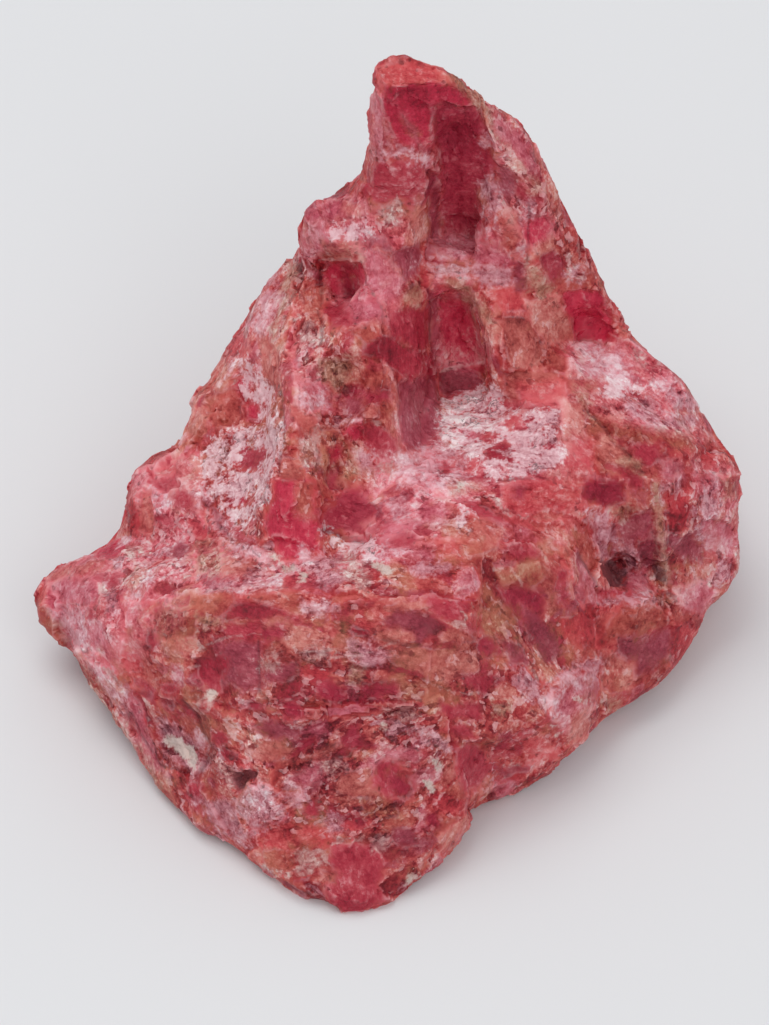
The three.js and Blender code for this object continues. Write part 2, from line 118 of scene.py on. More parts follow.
# What the front shows: what it is (some dark kinds are partly painted shade, on faces in shadow and in
# pits), which way its cleavage runs, how far it is sunk in mm, and its outline.
CRYSTALS = (
    # the peak
    ("red", 10, 0.0, "374,68 400,60 425,64 447,74 458,84 440,84 404,87 380,86"),
    ("rose", 84, 0.0, "370,85 376,84 382,112 392,140 394,148 372,150"),
    ("cerise", 80, 0.2, "380,86 404,86 440,84 462,88 476,100 482,112 462,112 440,108 431,110 432,140 "
     "426,150 402,148 388,128"),
    ("rose", 66, 0.0, "398,112 406,114 430,150 436,168 430,170 414,142"),
    ("deep", 82, 0.5, "432,110 444,105 462,111 480,110 487,125 494,152 496,170 488,182 482,192 485,222 "
     "483,242 462,236 450,240 440,225 436,180 440,168 431,125"),
    ("lilac", 5, -0.1, "482,144 489,144 492,150 488,154 483,153"),
    ("tan", 62, 0.0, "450,75 464,80 480,94 490,108 499,126 506,140 498,136 487,118 474,100 458,86"),
    ("rose", 60, 0.0, "484,98 500,115 515,122 530,140 546,180 540,190 515,160 500,145 492,125"),
    ("orange", 60, 0.0, "500,140 515,150 525,165 520,175 508,165"),
    ("plum_and_shade", 80, 0.2, "495,165 508,168 518,180 515,195 505,200 497,190"),
    ("brown", 20, 0.0, "524,170 540,175 545,190 535,195 525,185"),
    ("lilac", 84, 0.0, "485,184 495,176 497,200 491,222 487,238 485,210"),
    ("crimson", 5, 0.0, "370,166 385,161 426,164 430,180 428,200 414,222 402,202 380,206 368,190"),
    ("lilac", 5, -0.1, "378,149 402,150 430,157 428,162 400,158 376,156"),
    ("dust", 5, 0.0, "382,205 400,202 405,215 403,224 385,224"),
    ("salmon", 84, 0.0, "408,222 415,195 424,195 428,240 418,242 410,232"),
    ("plum_and_shade", 86, 0.5, "428,170 438,172 440,240 430,260 427,215"),
    ("orange", 85, 0.0, "500,208 520,205 520,235 515,250 500,248"),
    ("cerise", 30, 0.0, "520,225 545,215 552,228 545,240 530,245"),
    ("lilac", 20, 0.0, "520,205 535,205 535,215 525,225"),
    ("orange", 62, 0.0, "545,175 552,195 560,215 545,200"),
    ("rose", 10, 0.0, "430,240 460,238 500,245 515,262 505,268 470,262 440,258"),
    # the tower
    ("rose", 80, 0.0, "305,210 340,198 365,200 370,215 340,222 330,240 318,262 302,262 300,230"),
    ("orange", 85, 0.0, "345,200 362,203 362,218 348,218"),
    ("crust", 0, 0.0, "325,228 338,222 365,222 368,232 345,235 325,240"),
    ("brown", 0, 0.0, "320,240 360,243 365,262 322,262"),
    ("cerise", 86, 0.5, "322,262 362,262 365,283 364,295 350,302 325,292"),
    ("deep", 86, 0.2, "340,264 354,264 356,298 345,300 340,282"),
    ("plum_and_shade", 0, 0.0, "302,262 322,272 320,282 310,275"),
    ("plum_and_shade", 10, 0.0, "368,235 385,238 390,250 370,246"),
    ("plum_and_shade", 75, 0.3, "388,255 400,250 418,246 422,258 420,272 415,282 405,282 402,270 392,262"),
    ("rose", 75, 0.0, "365,255 385,255 395,270 403,282 400,295 385,300 366,285"),
    ("tan", 80, 0.0, "410,285 422,280 420,300 408,310 402,300"),
    ("orange", 80, 0.0, "302,290 325,285 330,310 320,325 305,320"),
    ("dust", 85, 0.0, "297,320 315,322 320,340 300,345"),
    ("rose", 0, 0.0, "340,300 378,295 385,318 350,325"),
    ("crimson", 0, 0.0, "324,304 346,302 352,326 330,330"),
    ("orange", 0, 0.0, "350,330 378,320 382,335 365,345"),
    ("crimson", 84, 0.2, "383,322 392,312 410,308 423,310 428,345 425,352 395,345"),
    # the pillar
    ("crimson", 84, 0.2, "362,345 385,335 410,345 432,355 436,372 428,385 405,378 385,362 362,352"),
    ("plum_and_shade", 86, 0.4, "400,380 436,375 440,400 443,430 425,445 405,455 398,415"),
    ("salmon", 75, -0.2, "382,362 392,370 402,402 398,415 392,395 385,375"),
    ("orange", 85, 0.0, "362,372 385,370 392,385 390,392 362,388"),
    ("deep", 0, 0.3, "362,390 390,390 395,398 385,403 365,402"),
    ("deep", 0, 0.3, "342,385 358,385 360,395 345,396"),
    ("tan", 0, 0.1, "320,360 350,358 352,380 340,390 322,388"),
    ("rose", 0, 0.0, "297,380 328,384 332,410 302,414"),
    ("lilac", 0, 0.0, "302,393 320,393 325,406 304,410"),
    ("salmon", 85, 0.0, "360,405 380,403 382,420 365,420"),
    ("orange", 85, -0.1, "380,403 395,403 398,430 400,455 388,445 384,425"),
    ("plum_and_shade", 0, 0.0, "340,398 362,398 362,415 345,415"),
    ("lilac", 0, -0.1, "340,420 352,416 353,422 342,425"),
    ("cerise", 85, 0.1, "342,425 360,422 365,435 352,440 344,432"),
    ("crimson", 85, 0.1, "362,425 380,425 395,440 400,460 380,462 365,445"),
    ("brown", 60, 0.0, "315,430 340,430 350,450 360,475 340,480 320,465"),
    ("cerise", 0, 0.1, "325,445 342,445 342,460 328,462"),
    ("dust", 88, 0.0, "300,430 318,432 318,465 302,462"),
    ("orange", 88, 0.0, "290,405 318,412 320,430 300,440"),
    ("lilac", 0, 0.0, "355,450 370,455 375,475 362,475"),
    # the bowl, and the steps beside it
    ("cerise", 84, 0.2, "440,294 455,290 468,298 476,310 480,330 482,345 490,362 478,368 450,366 440,350 "
     "436,320"),
    ("plum_and_shade", 86, 0.1, "428,290 437,294 440,330 437,368 430,364"),
    ("red", 20, 0.1, "432,282 450,284 465,292 460,296 440,296"),
    ("plum_and_shade", 10, 0.1, "438,372 450,366 478,370 488,380 482,388 470,395 445,400 438,390"),
    ("rose", 5, 0.0, "436,264 476,266 480,282 462,284 438,280"),
    ("tan", 60, -0.3, "446,279 456,279 468,286 480,301 489,318 487,330 481,324 474,309 464,296 452,287"),
    ("lilac", 3, -0.2, "420,262 470,266 510,265 515,285 490,286 470,275 440,275"),
    ("red", 10, 0.1, "478,290 512,286 528,300 527,312 500,312 495,300"),
    ("salmon", 80, 0.0, "495,315 524,318 540,345 548,372 510,368 498,335"),
    ("salmon", 30, 0.0, "524,300 558,294 566,315 572,340 545,345 530,325"),
    ("tan", 62, -0.1, "527,262 537,263 545,280 555,288 545,294 530,292 528,278"),
    ("plum_and_shade", 80, 0.2, "515,262 527,262 528,290 518,290 513,275"),
    ("deep", 60, 0.2, "538,257 555,253 572,262 565,275 555,284 548,282"),
    ("lilac", 0, 0.0, "565,275 580,268 585,272 572,282"),
    ("orange", 20, 0.0, "560,275 585,280 590,292 565,292"),
    ("orange", 60, 0.0, "570,245 580,255 590,270 600,285 592,290 580,270"),
    ("cerise", 82, 0.35, "562,293 590,290 603,292 613,318 616,335 610,343 580,343 572,333 568,310"),
    ("rose", 30, 0.0, "570,345 620,345 635,370 630,395 600,395 580,370"),
    ("lilac", 30, 0.0, "585,352 618,350 630,372 622,388 598,380"),
    ("orange", 20, 0.0, "555,375 600,378 600,395 565,398"),
    ("salmon", 85, 0.0, "480,320 500,322 500,345 490,345"),
    # the shelf
    ("crust", 10, -0.2, "440,408 455,398 475,393 492,380 502,400 505,440 500,478 480,470 445,448 441,430"),
    ("crust", 10, -0.1, "502,408 530,412 560,408 560,468 500,478"),
    ("rose", 0, 0.0, "462,432 480,432 480,448 465,448"),
    ("red", 0, 0.0, "504,416 520,414 524,426 508,430"),
    ("red", 0, 0.0, "480,433 498,436 495,445 482,445"),
    ("crimson", 5, 0.0, "484,442 508,446 519,458 511,466 498,463 484,455"),
    ("crimson", 5, 0.0, "520,403 540,404 535,412 525,410"),
    ("lilac", 5, -0.1, "396,456 425,448 448,444 475,462 462,478 436,490 400,488"),
    ("crimson", 0, 0.0, "444,465 453,467 450,474 443,473"),
    ("red", 0, 0.0, "463,462 472,458 480,461 480,474 471,476 465,470"),
    ("salmon", 10, 0.0, "500,372 558,370 560,398 503,400"),
    ("red", 5, 0.0, "518,382 565,380 568,408 545,410 520,404"),
    ("white", 0, 0.0, "457,483 461,484 462,490 458,489"),
    ("lilac", 5, 0.0, "384,502 402,499 410,511 400,521 386,518"),
    ("red", 3, -0.3, "497,482 515,478 555,476 600,485 600,510 560,512 520,515 505,505"),
    ("deep", 0, 0.0, "514,485 523,487 521,498 513,496"),
    ("crimson", 30, 0.0, "455,500 475,500 490,510 515,528 500,522 470,512"),
    ("rose", 10, 0.0, "420,500 445,502 448,524 420,525"),
    ("crust", 70, -0.1, "460,512 468,512 468,528 460,525"),
    ("orange", 15, 0.0, "470,515 490,517 505,530 495,550 465,560 458,545"),
    ("tan", 20, 0.0, "575,385 588,388 590,420 574,418"),
    ("salmon", 20, 0.0, "560,400 585,402 586,440 562,440"),
    ("red", 20, 0.0, "562,440 594,440 592,478 562,478"),
    # the right shoulder
    ("lilac", 30, -0.1, "620,400 650,395 665,415 700,418 690,430 670,425 640,422 625,412"),
    ("crust", 15, 0.0, "600,385 640,385 645,395 620,398 605,400"),
    ("lilac", 30, 0.0, "650,380 675,385 690,395 697,412 680,408 665,400"),
    ("salmon", 10, 0.0, "590,412 625,412 625,425 592,425"),
    ("brown", 20, 0.0, "595,420 630,425 655,432 680,430 690,440 690,450 660,450 640,440 620,438 605,430"),
    ("salmon", 40, -0.2, "598,435 610,437 622,450 630,458 625,466 610,465 600,455"),
    ("crimson", 20, 0.1, "630,445 645,440 660,442 665,455 655,465 640,465"),
    ("red", 20, 0.0, "660,442 690,448 690,458 670,460"),
    ("rose", 30, 0.0, "662,460 678,463 680,480 665,478"),
    ("tan", 10, 0.0, "620,462 640,462 645,475 630,470"),
    ("crimson", 80, 0.0, "625,470 640,472 645,488 628,490"),
    ("deep", 5, 0.1, "585,480 625,478 625,500 605,505 590,505 583,495"),
    ("tan", 84, -0.5, "652,478 657,478 660,500 665,545 669,585 664,585 660,560 657,530 654,500"),
    ("red", 85, 0.0, "664,492 689,490 691,520 688,532 668,531"),
    ("plum_and_shade", 80, 0.1, "668,534 692,533 702,542 700,560 680,558 669,548"),
    ("lilac", 85, 0.0, "698,472 712,470 720,495 717,535 704,542 699,520"),
    ("red", 60, 0.0, "700,448 715,450 720,470 705,475"),
    ("brown", 60, 0.0, "722,476 730,476 740,498 728,498"),
    ("rose", 80, 0.0, "700,520 725,520 738,530 740,545 730,555 705,550"),
    # the right face and its foot
    ("tan", 10, 0.0, "611,506 626,503 636,508 628,515 613,517"),
    ("lilac", 85, 0.0, "590,512 606,510 611,530 612,556 600,560 593,542"),
    ("deep", 86, 0.2, "610,520 615,520 617,556 612,556"),
    ("plum_and_shade", 85, 0.2, "616,518 650,510 653,538 640,541 634,549 618,549"),
    ("plum_and_shade", 85, 0.1, "638,541 656,539 660,562 646,566 638,556"),
    ("lilac", 85, 0.0, "621,550 636,550 637,567 627,570"),
    ("shaded_pit", 85, 0.7, "600,560 611,561 617,567 625,570 626,584 614,585 607,577"),
    ("shaded_pit", 85, 0.6, "653,567 660,568 666,571 667,581 657,581 653,575"),
    ("rose", 10, 0.0, "628,574 642,571 652,582 654,596 630,597"),
    ("plum_and_shade", 86, 0.1, "691,505 697,505 700,540 695,540"),
    ("salmon", 0, 0.0, "678,583 700,580 703,597 680,598"),
    ("crimson", 2, 0.2, "600,590 640,590 640,598 600,598"),
    ("lilac", 0, -0.1, "595,600 630,598 662,597 662,602 625,604 600,605"),
    ("orange", 5, -0.1, "610,613 625,605 655,603 668,612 665,622 640,635 612,640 602,638 604,625"),
    ("red", 75, 0.1, "556,618 580,613 594,622 592,645 575,648 562,638"),
    ("plum_and_shade", -25, 0.2, "622,640 640,637 665,630 672,640 672,655 655,672 640,678 628,668 622,655"),
    ("red", -30, 0.0, "672,622 690,620 695,635 685,655 675,668 672,645"),
    ("rose", 0, 0.0, "672,588 700,580 712,590 700,612 685,610"),
    ("tan", 40, 0.0, "605,700 620,700 620,710 610,714"),
    ("salmon", 0, 0.0, "600,652 636,660 632,690 604,690"),
    ("orange", 60, 0.0, "605,670 620,668 622,690 608,695"),
    # right of the belly
    ("crimson", 10, 0.0, "500,550 535,548 540,558 510,560"),
    ("brown", 80, 0.0, "497,570 540,560 548,582 525,590 500,584"),
    ("deep", 80, 0.3, "497,586 515,583 540,590 549,600 545,615 520,620 505,605"),
    ("salmon", 78, -0.2, "545,562 551,572 556,600 560,612 552,610 547,590"),
    ("crimson", 80, 0.2, "560,565 570,572 573,600 568,607 560,605 556,590"),
    ("deep", 80, 0.2, "562,588 571,588 571,603 562,603"),
    ("rose", 70, 0.0, "576,556 590,564 600,600 586,604 578,580"),
    ("rose", 80, 0.0, "575,585 586,590 586,604 576,602"),
    ("plum_and_shade", 60, 0.0, "520,602 540,612 552,628 562,650 548,664 530,645"),
    ("plum_and_shade", 45, 0.1, "503,640 520,645 530,664 510,664"),
    ("rose", -25, -0.2, "548,700 560,680 590,668 600,685 592,708 575,728 560,732 550,716"),
    ("lilac", -25, -0.2, "541,698 556,676 575,666 600,660 602,672 580,684 564,696 554,712 545,708"),
    ("salmon", 30, -0.1, "574,712 590,703 593,725 580,745 566,740 564,722"),
    ("deep", 60, 0.2, "590,690 598,685 600,697 592,700"),
    ("white", 0, 0.0, "573,698 588,698 587,702 575,702"),
    ("white", 70, 0.0, "552,727 560,730 558,741 552,737"),
    ("red", 30, 0.0, "522,738 540,732 556,744 560,757 536,770 524,764"),
    ("tan", 20, 0.0, "493,704 506,702 511,709 502,716 495,713"),
    ("deep", 60, 0.2, "498,736 512,733 514,742 500,744"),
    ("plum_and_shade", 20, 0.0, "493,766 520,762 530,770 500,780"),
    ("rose", 20, 0.0, "490,785 515,780 522,790 498,800"),
    # the left flank and hollow
    ("lilac", 105, -0.1, "247,325 255,305 268,285 285,270 295,262 288,285 276,330 255,332"),
    ("tan", 95, -0.2, "290,262 298,265 295,285 285,300 280,315 275,345 270,345 272,325 278,300 286,280"),
    ("red", 60, 0.0, "228,348 240,335 247,340 252,352 245,358 235,355"),
    ("orange", 125, 0.0, "200,392 215,362 228,352 225,370 208,400"),
    ("salmon", 60, 0.0, "182,412 204,402 212,428 190,440"),
    ("orange", 60, 0.0, "205,390 235,388 243,400 240,425 215,428 200,415"),
    ("cerise", 60, 0.1, "233,385 247,375 254,385 245,402"),
    ("cerise", 80, 0.1, "245,400 260,402 260,420 247,420"),
    ("crust", 75, 0.0, "235,360 250,365 262,375 272,395 278,425 275,440 262,430 262,402 245,400 245,390 "
     "255,385"),
    ("salmon", 85, 0.0, "255,330 275,345 278,380 275,390 265,375 257,350"),
    ("crust", 70, -0.1, "205,455 215,440 240,430 270,425 283,430 280,460 268,480 268,500 255,515 245,525 "
     "230,515 215,500 200,490"),
    ("deep", 5, 0.3, "236,446 266,447 270,458 262,464 266,472 244,473 236,462"),
    ("cerise", 5, 0.1, "226,496 245,497 262,500 258,506 240,508 230,504"),
    ("cerise", 86, 0.1, "272,480 295,480 312,483 320,530 320,555 300,560 280,558 268,530 270,500"),
    ("orange", 86, 0.0, "295,480 315,483 315,520 298,520"),
    ("salmon", 86, 0.0, "278,455 300,460 305,480 280,480"),
    ("deep", 80, 0.8, "328,468 340,465 343,487 330,490 325,480"),
    ("deep", 15, 0.4, "322,513 335,502 345,490 360,487 370,500 375,510 365,525 368,537 345,535 325,527"),
    ("crust", 15, -0.1, "325,533 345,539 370,540 382,550 362,556 345,548 330,543"),
    # the foot of the hollow
    ("lilac", 10, 0.0, "298,549 345,556 352,572 340,588 308,582"),
    ("white", 0, 0.0, "270,552 278,558 275,562"),
    ("white", 0, 0.0, "280,563 295,565 290,573 282,570"),
    ("white", 0, 0.0, "300,573 312,578 305,587 298,580"),
    ("white", 0, 0.0, "373,563 385,561 395,571 383,571"),
    ("red", 0, 0.0, "364,568 379,570 380,580 364,580"),
    ("lilac", 45, 0.0, "200,500 208,498 240,535 268,555 265,565 230,545"),
    ("crimson", 20, 0.0, "222,522 240,528 255,545 240,545 228,532"),
    ("brown", 60, 0.0, "195,540 220,540 222,575 200,575"),
    ("lilac", 5, 0.0, "200,580 230,575 290,575 285,584 230,588 205,592"),
    ("salmon", 10, 0.0, "220,555 260,558 258,576 222,576"),
    ("red", 0, 0.0, "278,574 295,576 299,590 282,592"),
    ("rose", 86, 0.0, "382,518 415,525 415,540 395,545 380,540"),
    ("crimson", 0, 0.1, "382,538 418,533 413,545 395,548"),
    ("dust", 10, 0.0, "345,552 360,556 372,575 366,588 350,584 340,568"),
    ("rose", 0, 0.0, "405,548 430,545 435,560 410,563"),
    ("lilac", -3, -0.2, "407,564 440,561 456,566 448,571 430,573 415,573"),
    ("red", 0, 0.0, "437,540 460,540 460,560 440,560"),
    # the left wing
    ("red", 10, 0.0, "150,462 176,462 180,474 152,478"),
    ("crimson", 10, 0.1, "150,478 172,472 178,485 165,490 155,488"),
    ("crimson", 30, 0.1, "170,497 182,490 195,500 195,510 180,507"),
    ("crimson", 30, 0.0, "150,515 165,515 178,525 165,530"),
    ("salmon", 80, 0.0, "135,492 150,490 150,530 138,528"),
    ("plum_and_shade", 60, 0.0, "170,550 180,540 190,548 180,560"),
    ("lilac", 45, 0.0, "144,570 154,570 153,584 145,584"),
    ("lilac", 0, 0.0, "102,593 113,592 116,612 105,614"),
    ("orange", 20, 0.0, "45,572 60,565 75,570 70,585 50,590"),
    ("rose", 0, 0.0, "45,580 95,578 97,604 58,608"),
    ("rose", 70, 0.0, "88,620 105,620 108,650 90,648"),
    ("lilac", 55, 0.0, "50,608 84,606 90,640 74,652 58,632"),
    ("brown", 55, 0.0, "37,602 43,602 60,634 72,652 90,665 100,692 94,696 80,668 62,655 48,636"),
    ("lilac", 50, 0.0, "85,660 95,660 130,695 125,702 105,690"),
    ("crimson", 20, 0.0, "148,630 160,625 165,640 155,650 145,645"),
    ("red", 10, 0.0, "115,655 140,655 142,675 118,673"),
    ("crimson", 0, 0.1, "162,684 178,682 178,692 165,694"),
    ("salmon", 10, 0.0, "165,635 200,635 200,655 168,655"),
    ("brown", -15, 0.0, "150,608 200,605 198,640 155,640"),
    # the belly
    ("orange", 0, -0.1, "190,592 232,590 237,600 225,614 220,620 200,618 185,616"),
    ("orange", 25, 0.0, "243,585 265,587 277,597 278,606 262,602 247,597"),
    ("crimson", 12, 0.1, "235,602 262,603 285,612 302,616 298,622 285,618 262,619 240,618 222,622 228,612"),
    ("crimson", 5, 0.1, "222,622 262,622 262,632 276,637 262,648 225,640"),
    ("salmon", 5, 0.0, "263,620 280,617 292,622 285,627 266,627"),
    ("deep", 5, 0.2, "264,628 282,628 284,635 270,641 262,635"),
    ("salmon", -15, -0.1, "283,640 295,627 310,626 325,635 325,650 300,652 285,645"),
    ("orange", 10, 0.0, "280,585 300,588 306,603 296,613 282,606"),
    ("lilac", 15, 0.0, "303,603 325,600 342,606 338,613 310,613"),
    ("plum_and_shade", 20, 0.2, "216,640 264,642 266,686 242,694 222,678"),
    ("crimson", 80, 0.1, "198,662 224,658 222,692 205,692 198,680"),
    ("plum_and_shade", 10, 0.1, "262,664 297,663 298,675 282,685 263,680"),
    ("dust", 35, 0.0, "260,662 272,652 280,655 277,667 267,669"),
    ("dust", 5, 0.0, "300,655 312,651 328,655 312,663"),
    ("white", 0, 0.0, "205,692 213,692 212,699 205,699"),
    ("tan", 0, 0.0, "195,616 212,618 222,624 205,626"),
    ("brown", 10, 0.0, "182,690 202,690 204,704 184,701"),
    ("deep", 0, 0.4, "247,701 262,701 269,705 262,709 250,708"),
    ("deep", 80, 0.2, "278,698 300,698 302,720 283,721"),
    ("deep", 20, 0.1, "314,681 330,682 345,690 348,701 335,706 318,698"),
    ("crimson", 10, 0.0, "416,596 432,592 452,600 464,616 442,622 424,608"),
    ("salmon", 3, -0.1, "380,605 420,600 427,608 405,613 383,612"),
    ("plum_and_shade", 12, 0.2, "383,620 395,611 420,611 440,619 441,633 424,640 420,646 400,640 383,637"),
    ("salmon", 12, 0.0, "374,626 414,630 416,650 384,650 372,640"),
    ("crimson", 10, 0.1, "345,632 352,624 368,628 371,639 355,637"),
    ("salmon", 5, -0.2, "438,636 450,628 470,632 477,642 440,643"),
    ("lilac", 5, 0.0, "348,640 372,642 386,650 388,664 368,664 352,655"),
    ("salmon", 12, -0.2, "383,646 410,642 430,650 475,652 476,672 445,681 415,669 388,662"),
    ("crimson", 20, 0.1, "462,618 482,622 482,636 468,632"),
    ("brown", 45, 0.0, "478,606 498,616 508,634 500,640 480,634"),
    ("deep", 60, 0.3, "477,636 497,635 502,655 485,660 476,650"),
    ("crimson", 5, 0.1, "460,676 490,670 502,680 482,692 462,686"),
    ("deep", 0, 0.2, "360,684 378,680 400,684 401,697 382,699 360,699"),
    ("brown", 0, 0.0, "402,681 420,683 418,696 403,696"),
    ("tan", 80, 0.0, "351,669 361,671 359,683 352,681"),
    ("crimson", 10, 0.0, "438,701 480,705 482,720 450,721 440,713"),
    # the lower left edge
    ("lilac", 52, 0.0, "100,682 118,688 130,707 122,714 108,700"),
    ("plum_and_shade", 54, 0.1, "118,712 132,716 136,734 126,728"),
    ("rose", 56, 0.0, "124,690 140,702 152,742 162,770 150,770 135,740"),
    ("tan", 54, 0.0, "86,678 93,682 108,708 126,733 146,763 166,790 159,792 138,768 117,737 100,710"),
    ("deep", 30, 0.2, "152,697 165,696 173,701 171,709 160,705"),
    ("plum_and_shade", 20, 0.0, "137,690 150,692 153,701 142,699"),
    ("deep", 50, 0.2, "181,704 192,711 199,718 190,719 183,711"),
    ("lilac", 45, 0.0, "158,726 176,724 198,740 206,768 192,776 166,756"),
    ("white", 45, 0.0, "164,737 172,734 182,737 189,743 196,748 198,757 196,768 191,766 192,757 184,758 "
     "176,750 166,744"),
    ("orange", 80, 0.0, "183,715 197,719 195,735 186,737 179,726"),
    ("crimson", 10, 0.0, "212,735 220,729 229,735 232,743 222,747 238,752 238,760 225,758 214,745"),
    ("crimson", 80, 0.1, "189,783 197,779 203,785 200,796 192,797 187,790"),
    ("red", 50, 0.0, "167,765 178,768 181,779 170,773"),
    ("plum_and_shade", 60, 0.2, "203,812 212,817 213,825 205,819"),
    ("crimson", 35, -0.2, "192,820 205,822 217,831 213,836 203,833 194,826"),
    # the low front
    ("shaded_pit", -15, 1.4, "232,776 245,770 259,772 258,778 248,782 241,792 233,789 236,781"),
    ("lilac", -30, -0.1, "240,790 260,782 285,792 302,789 300,802 280,816 262,829 250,826 238,818 236,808"),
    ("dust", 0, 0.0, "200,700 216,701 212,711 200,713"),
    ("dust", 10, 0.0, "218,766 233,769 232,779 221,778"),
    ("lilac", 30, 0.0, "200,802 235,800 236,815 246,836 226,839 213,822"),
    ("plum_and_shade", 8, 0.1, "252,726 262,720 285,722 303,730 301,743 285,738 262,738"),
    ("salmon", 8, 0.0, "247,746 270,740 293,744 293,758 270,763 250,759"),
    ("deep", -28, 0.4, "300,742 315,737 319,745 305,753 294,759 288,757"),
    ("salmon", -27, -0.2, "303,758 320,748 335,741 342,742 331,755 322,761 308,761"),
    ("deep", -20, 0.35, "329,758 340,748 353,744 349,755 335,760"),
    ("deep", 60, 0.3, "338,738 350,722 362,724 367,738 374,745 365,751 350,749 341,743"),
    ("dust", 0, 0.0, "321,761 335,757 347,765 340,774 324,774"),
    ("plum_and_shade", 80, 0.3, "310,788 317,778 322,781 316,794"),
    ("salmon", -20, -0.1, "340,776 370,768 378,796 350,801 335,792"),
    ("crimson", 75, -0.1, "375,765 395,761 405,768 413,780 415,796 405,803 385,796 374,785"),
    ("deep", 80, 0.0, "390,772 404,774 413,786 413,797 398,797 388,786"),
    ("rose", -35, 0.0, "288,776 320,762 322,780 300,793"),
    ("lilac", -20, 0.0, "280,785 300,785 306,800 285,803"),
    ("crimson", -10, 0.0, "301,803 320,799 324,816 305,821"),
    ("deep", 45, 0.5, "326,804 337,811 346,819 340,823 330,815"),
    ("lilac", 45, 0.0, "322,820 335,820 342,829 330,833"),
    ("deep", 60, 0.2, "352,812 360,813 368,826 362,831 355,826"),
    ("dust", 40, 0.0, "374,832 386,834 394,841 386,850 374,845"),
    ("brown", 10, 0.0, "360,800 402,805 398,817 363,816"),
    ("plum_and_shade", 30, 0.1, "394,829 415,829 421,846 400,849 392,838"),
    ("deep", 40, 0.2, "424,812 438,813 439,825 428,827"),
    ("red", 20, 0.0, "295,825 328,825 338,840 325,851 300,842"),
    ("crimson", 70, 0.0, "330,846 352,840 375,848 386,862 380,885 385,896 365,916 345,916 328,906 322,890 "
     "335,880 330,862"),
    ("salmon", 10, 0.0, "317,868 338,870 335,883 321,879"),
    ("orange", 20, 0.0, "260,850 290,850 293,873 266,869"),
    ("white", -30, -0.1, "408,876 418,869 421,872 411,881 405,885"),
    ("white", 50, 0.0, "424,781 429,783 431,789 426,787"),
    ("white", 40, 0.0, "431,757 436,760 441,767 437,768 432,762"),
    ("white", 80, 0.0, "383,723 387,724 387,729 383,729"),
    ("dust", 10, 0.0, "385,707 410,704 422,716 408,722 388,720"),
    ("plum_and_shade", 70, 0.3, "407,723 415,729 416,741 407,736"),
    ("lilac", 30, 0.0, "418,728 445,735 447,752 425,746"),
    ("rose", 12, 0.0, "378,744 420,750 421,763 384,759"),
    ("crimson", 20, 0.1, "446,722 470,725 480,739 460,741 447,735"),
    ("crimson", -50, 0.0, "455,746 479,745 492,772 480,788 463,796 457,770"),
    ("salmon", -52, -0.1, "438,838 464,815 471,820 450,851 437,853"),
    ("plum_and_shade", 20, 0.1, "262,869 273,872 277,881 267,878"),
    ("plum_and_shade", 20, 0.0, "280,884 300,889 303,899 285,897"),
)

# Cracks and dark joints: how deep and half how wide, in mm, and the way they run.
CRACKS = (
    (0.5, 0.2, "584,410 592,418 605,430 612,442 622,450 629,456"),
    (0.4, 0.2, "500,480 540,476 550,479"),
    (0.6, 0.25, "298,262 300,280 290,300"),
    (0.4, 0.2, "275,385 282,400 283,430 280,470"),
    (0.5, 0.25, "325,529 345,536 366,540"),
    (0.4, 0.2, "667,515 683,518"),
    (0.5, 0.25, "350,665 362,668 374,669"),
    (0.5, 0.25, "578,553 590,572 600,592"),
    (0.3, 0.1, "440,262 428,300 430,345"),
    (0.3, 0.1, "362,262 368,285 383,310 384,345"),
    (0.4, 0.2, "320,262 322,300 318,345"),
    (0.4, 0.2, "528,205 530,240 527,262"),
    (0.5, 0.2, "180,700 200,718 208,745 200,772"),
    (0.4, 0.2, "130,715 142,740 160,765 186,772"),
    (0.4, 0.2, "260,640 258,690 268,703"),
    (0.5, 0.25, "383,640 412,646 421,645"),
)
# Thin pale veins and the light edges of ledges: half how wide, in mm, and the way they run.
VEINS = (
    (0.15, "440,371 490,361"),
    (0.08, "423,679 445,690 470,695 480,692"),
    (0.08, "200,590 235,586 262,582 290,600"),
    (0.06, "150,682 175,672 202,665"),
    (0.08, "330,658 360,655 400,640"),
    (0.08, "190,655 225,637 262,634"),
    (0.08, "300,652 330,650 360,645"),
    (0.15, "490,570 510,568 522,585"),
    (0.08, "320,262 340,260 365,262"),
    (0.08, "565,343 600,344 616,342"),
)

# Broad patches where the ground is lighter and pinker, or darker and browner. They fade out at their edges.
ROSY = (
    "688,455 735,465 738,520 690,530",
    "294,335 330,345 332,425 296,425",
    "436,280 470,285 492,362 478,372 440,366",
    "40,570 105,548 150,520 215,540 300,565 330,585 210,592 150,650 105,680 55,630",
    "330,283 397,285 395,318 335,320",
    "500,120 530,170 560,235 520,255 500,200",
    "435,235 500,232 510,262 440,262",
    "560,343 637,345 700,400 725,445 690,440 620,420 570,390",
    "400,400 570,385 600,470 480,490 400,560 330,580 360,500",
    "700,470 740,480 738,560 705,610 690,560",
    "130,470 200,450 210,530 140,540",
    "320,640 430,645 480,640 480,680 400,690 330,680",
    "300,200 350,195 420,230 380,255 320,250",
)
DUSKY = (
    "195,600 300,610 420,600 470,625 490,700 420,700 260,720 190,690",
    "300,830 440,830 400,900 345,925 280,890",
    "332,345 360,350 360,480 322,480",
    "210,622 310,630 330,700 240,700",
    "300,690 430,690 440,760 390,840 300,830 260,740",
    "593,430 685,452 685,500 600,500",
    "480,560 560,560 560,640 500,640",
    "620,500 700,500 700,560 610,590",
    "630,620 700,610 690,670 620,690",
    "140,700 230,710 240,830 170,800",
)

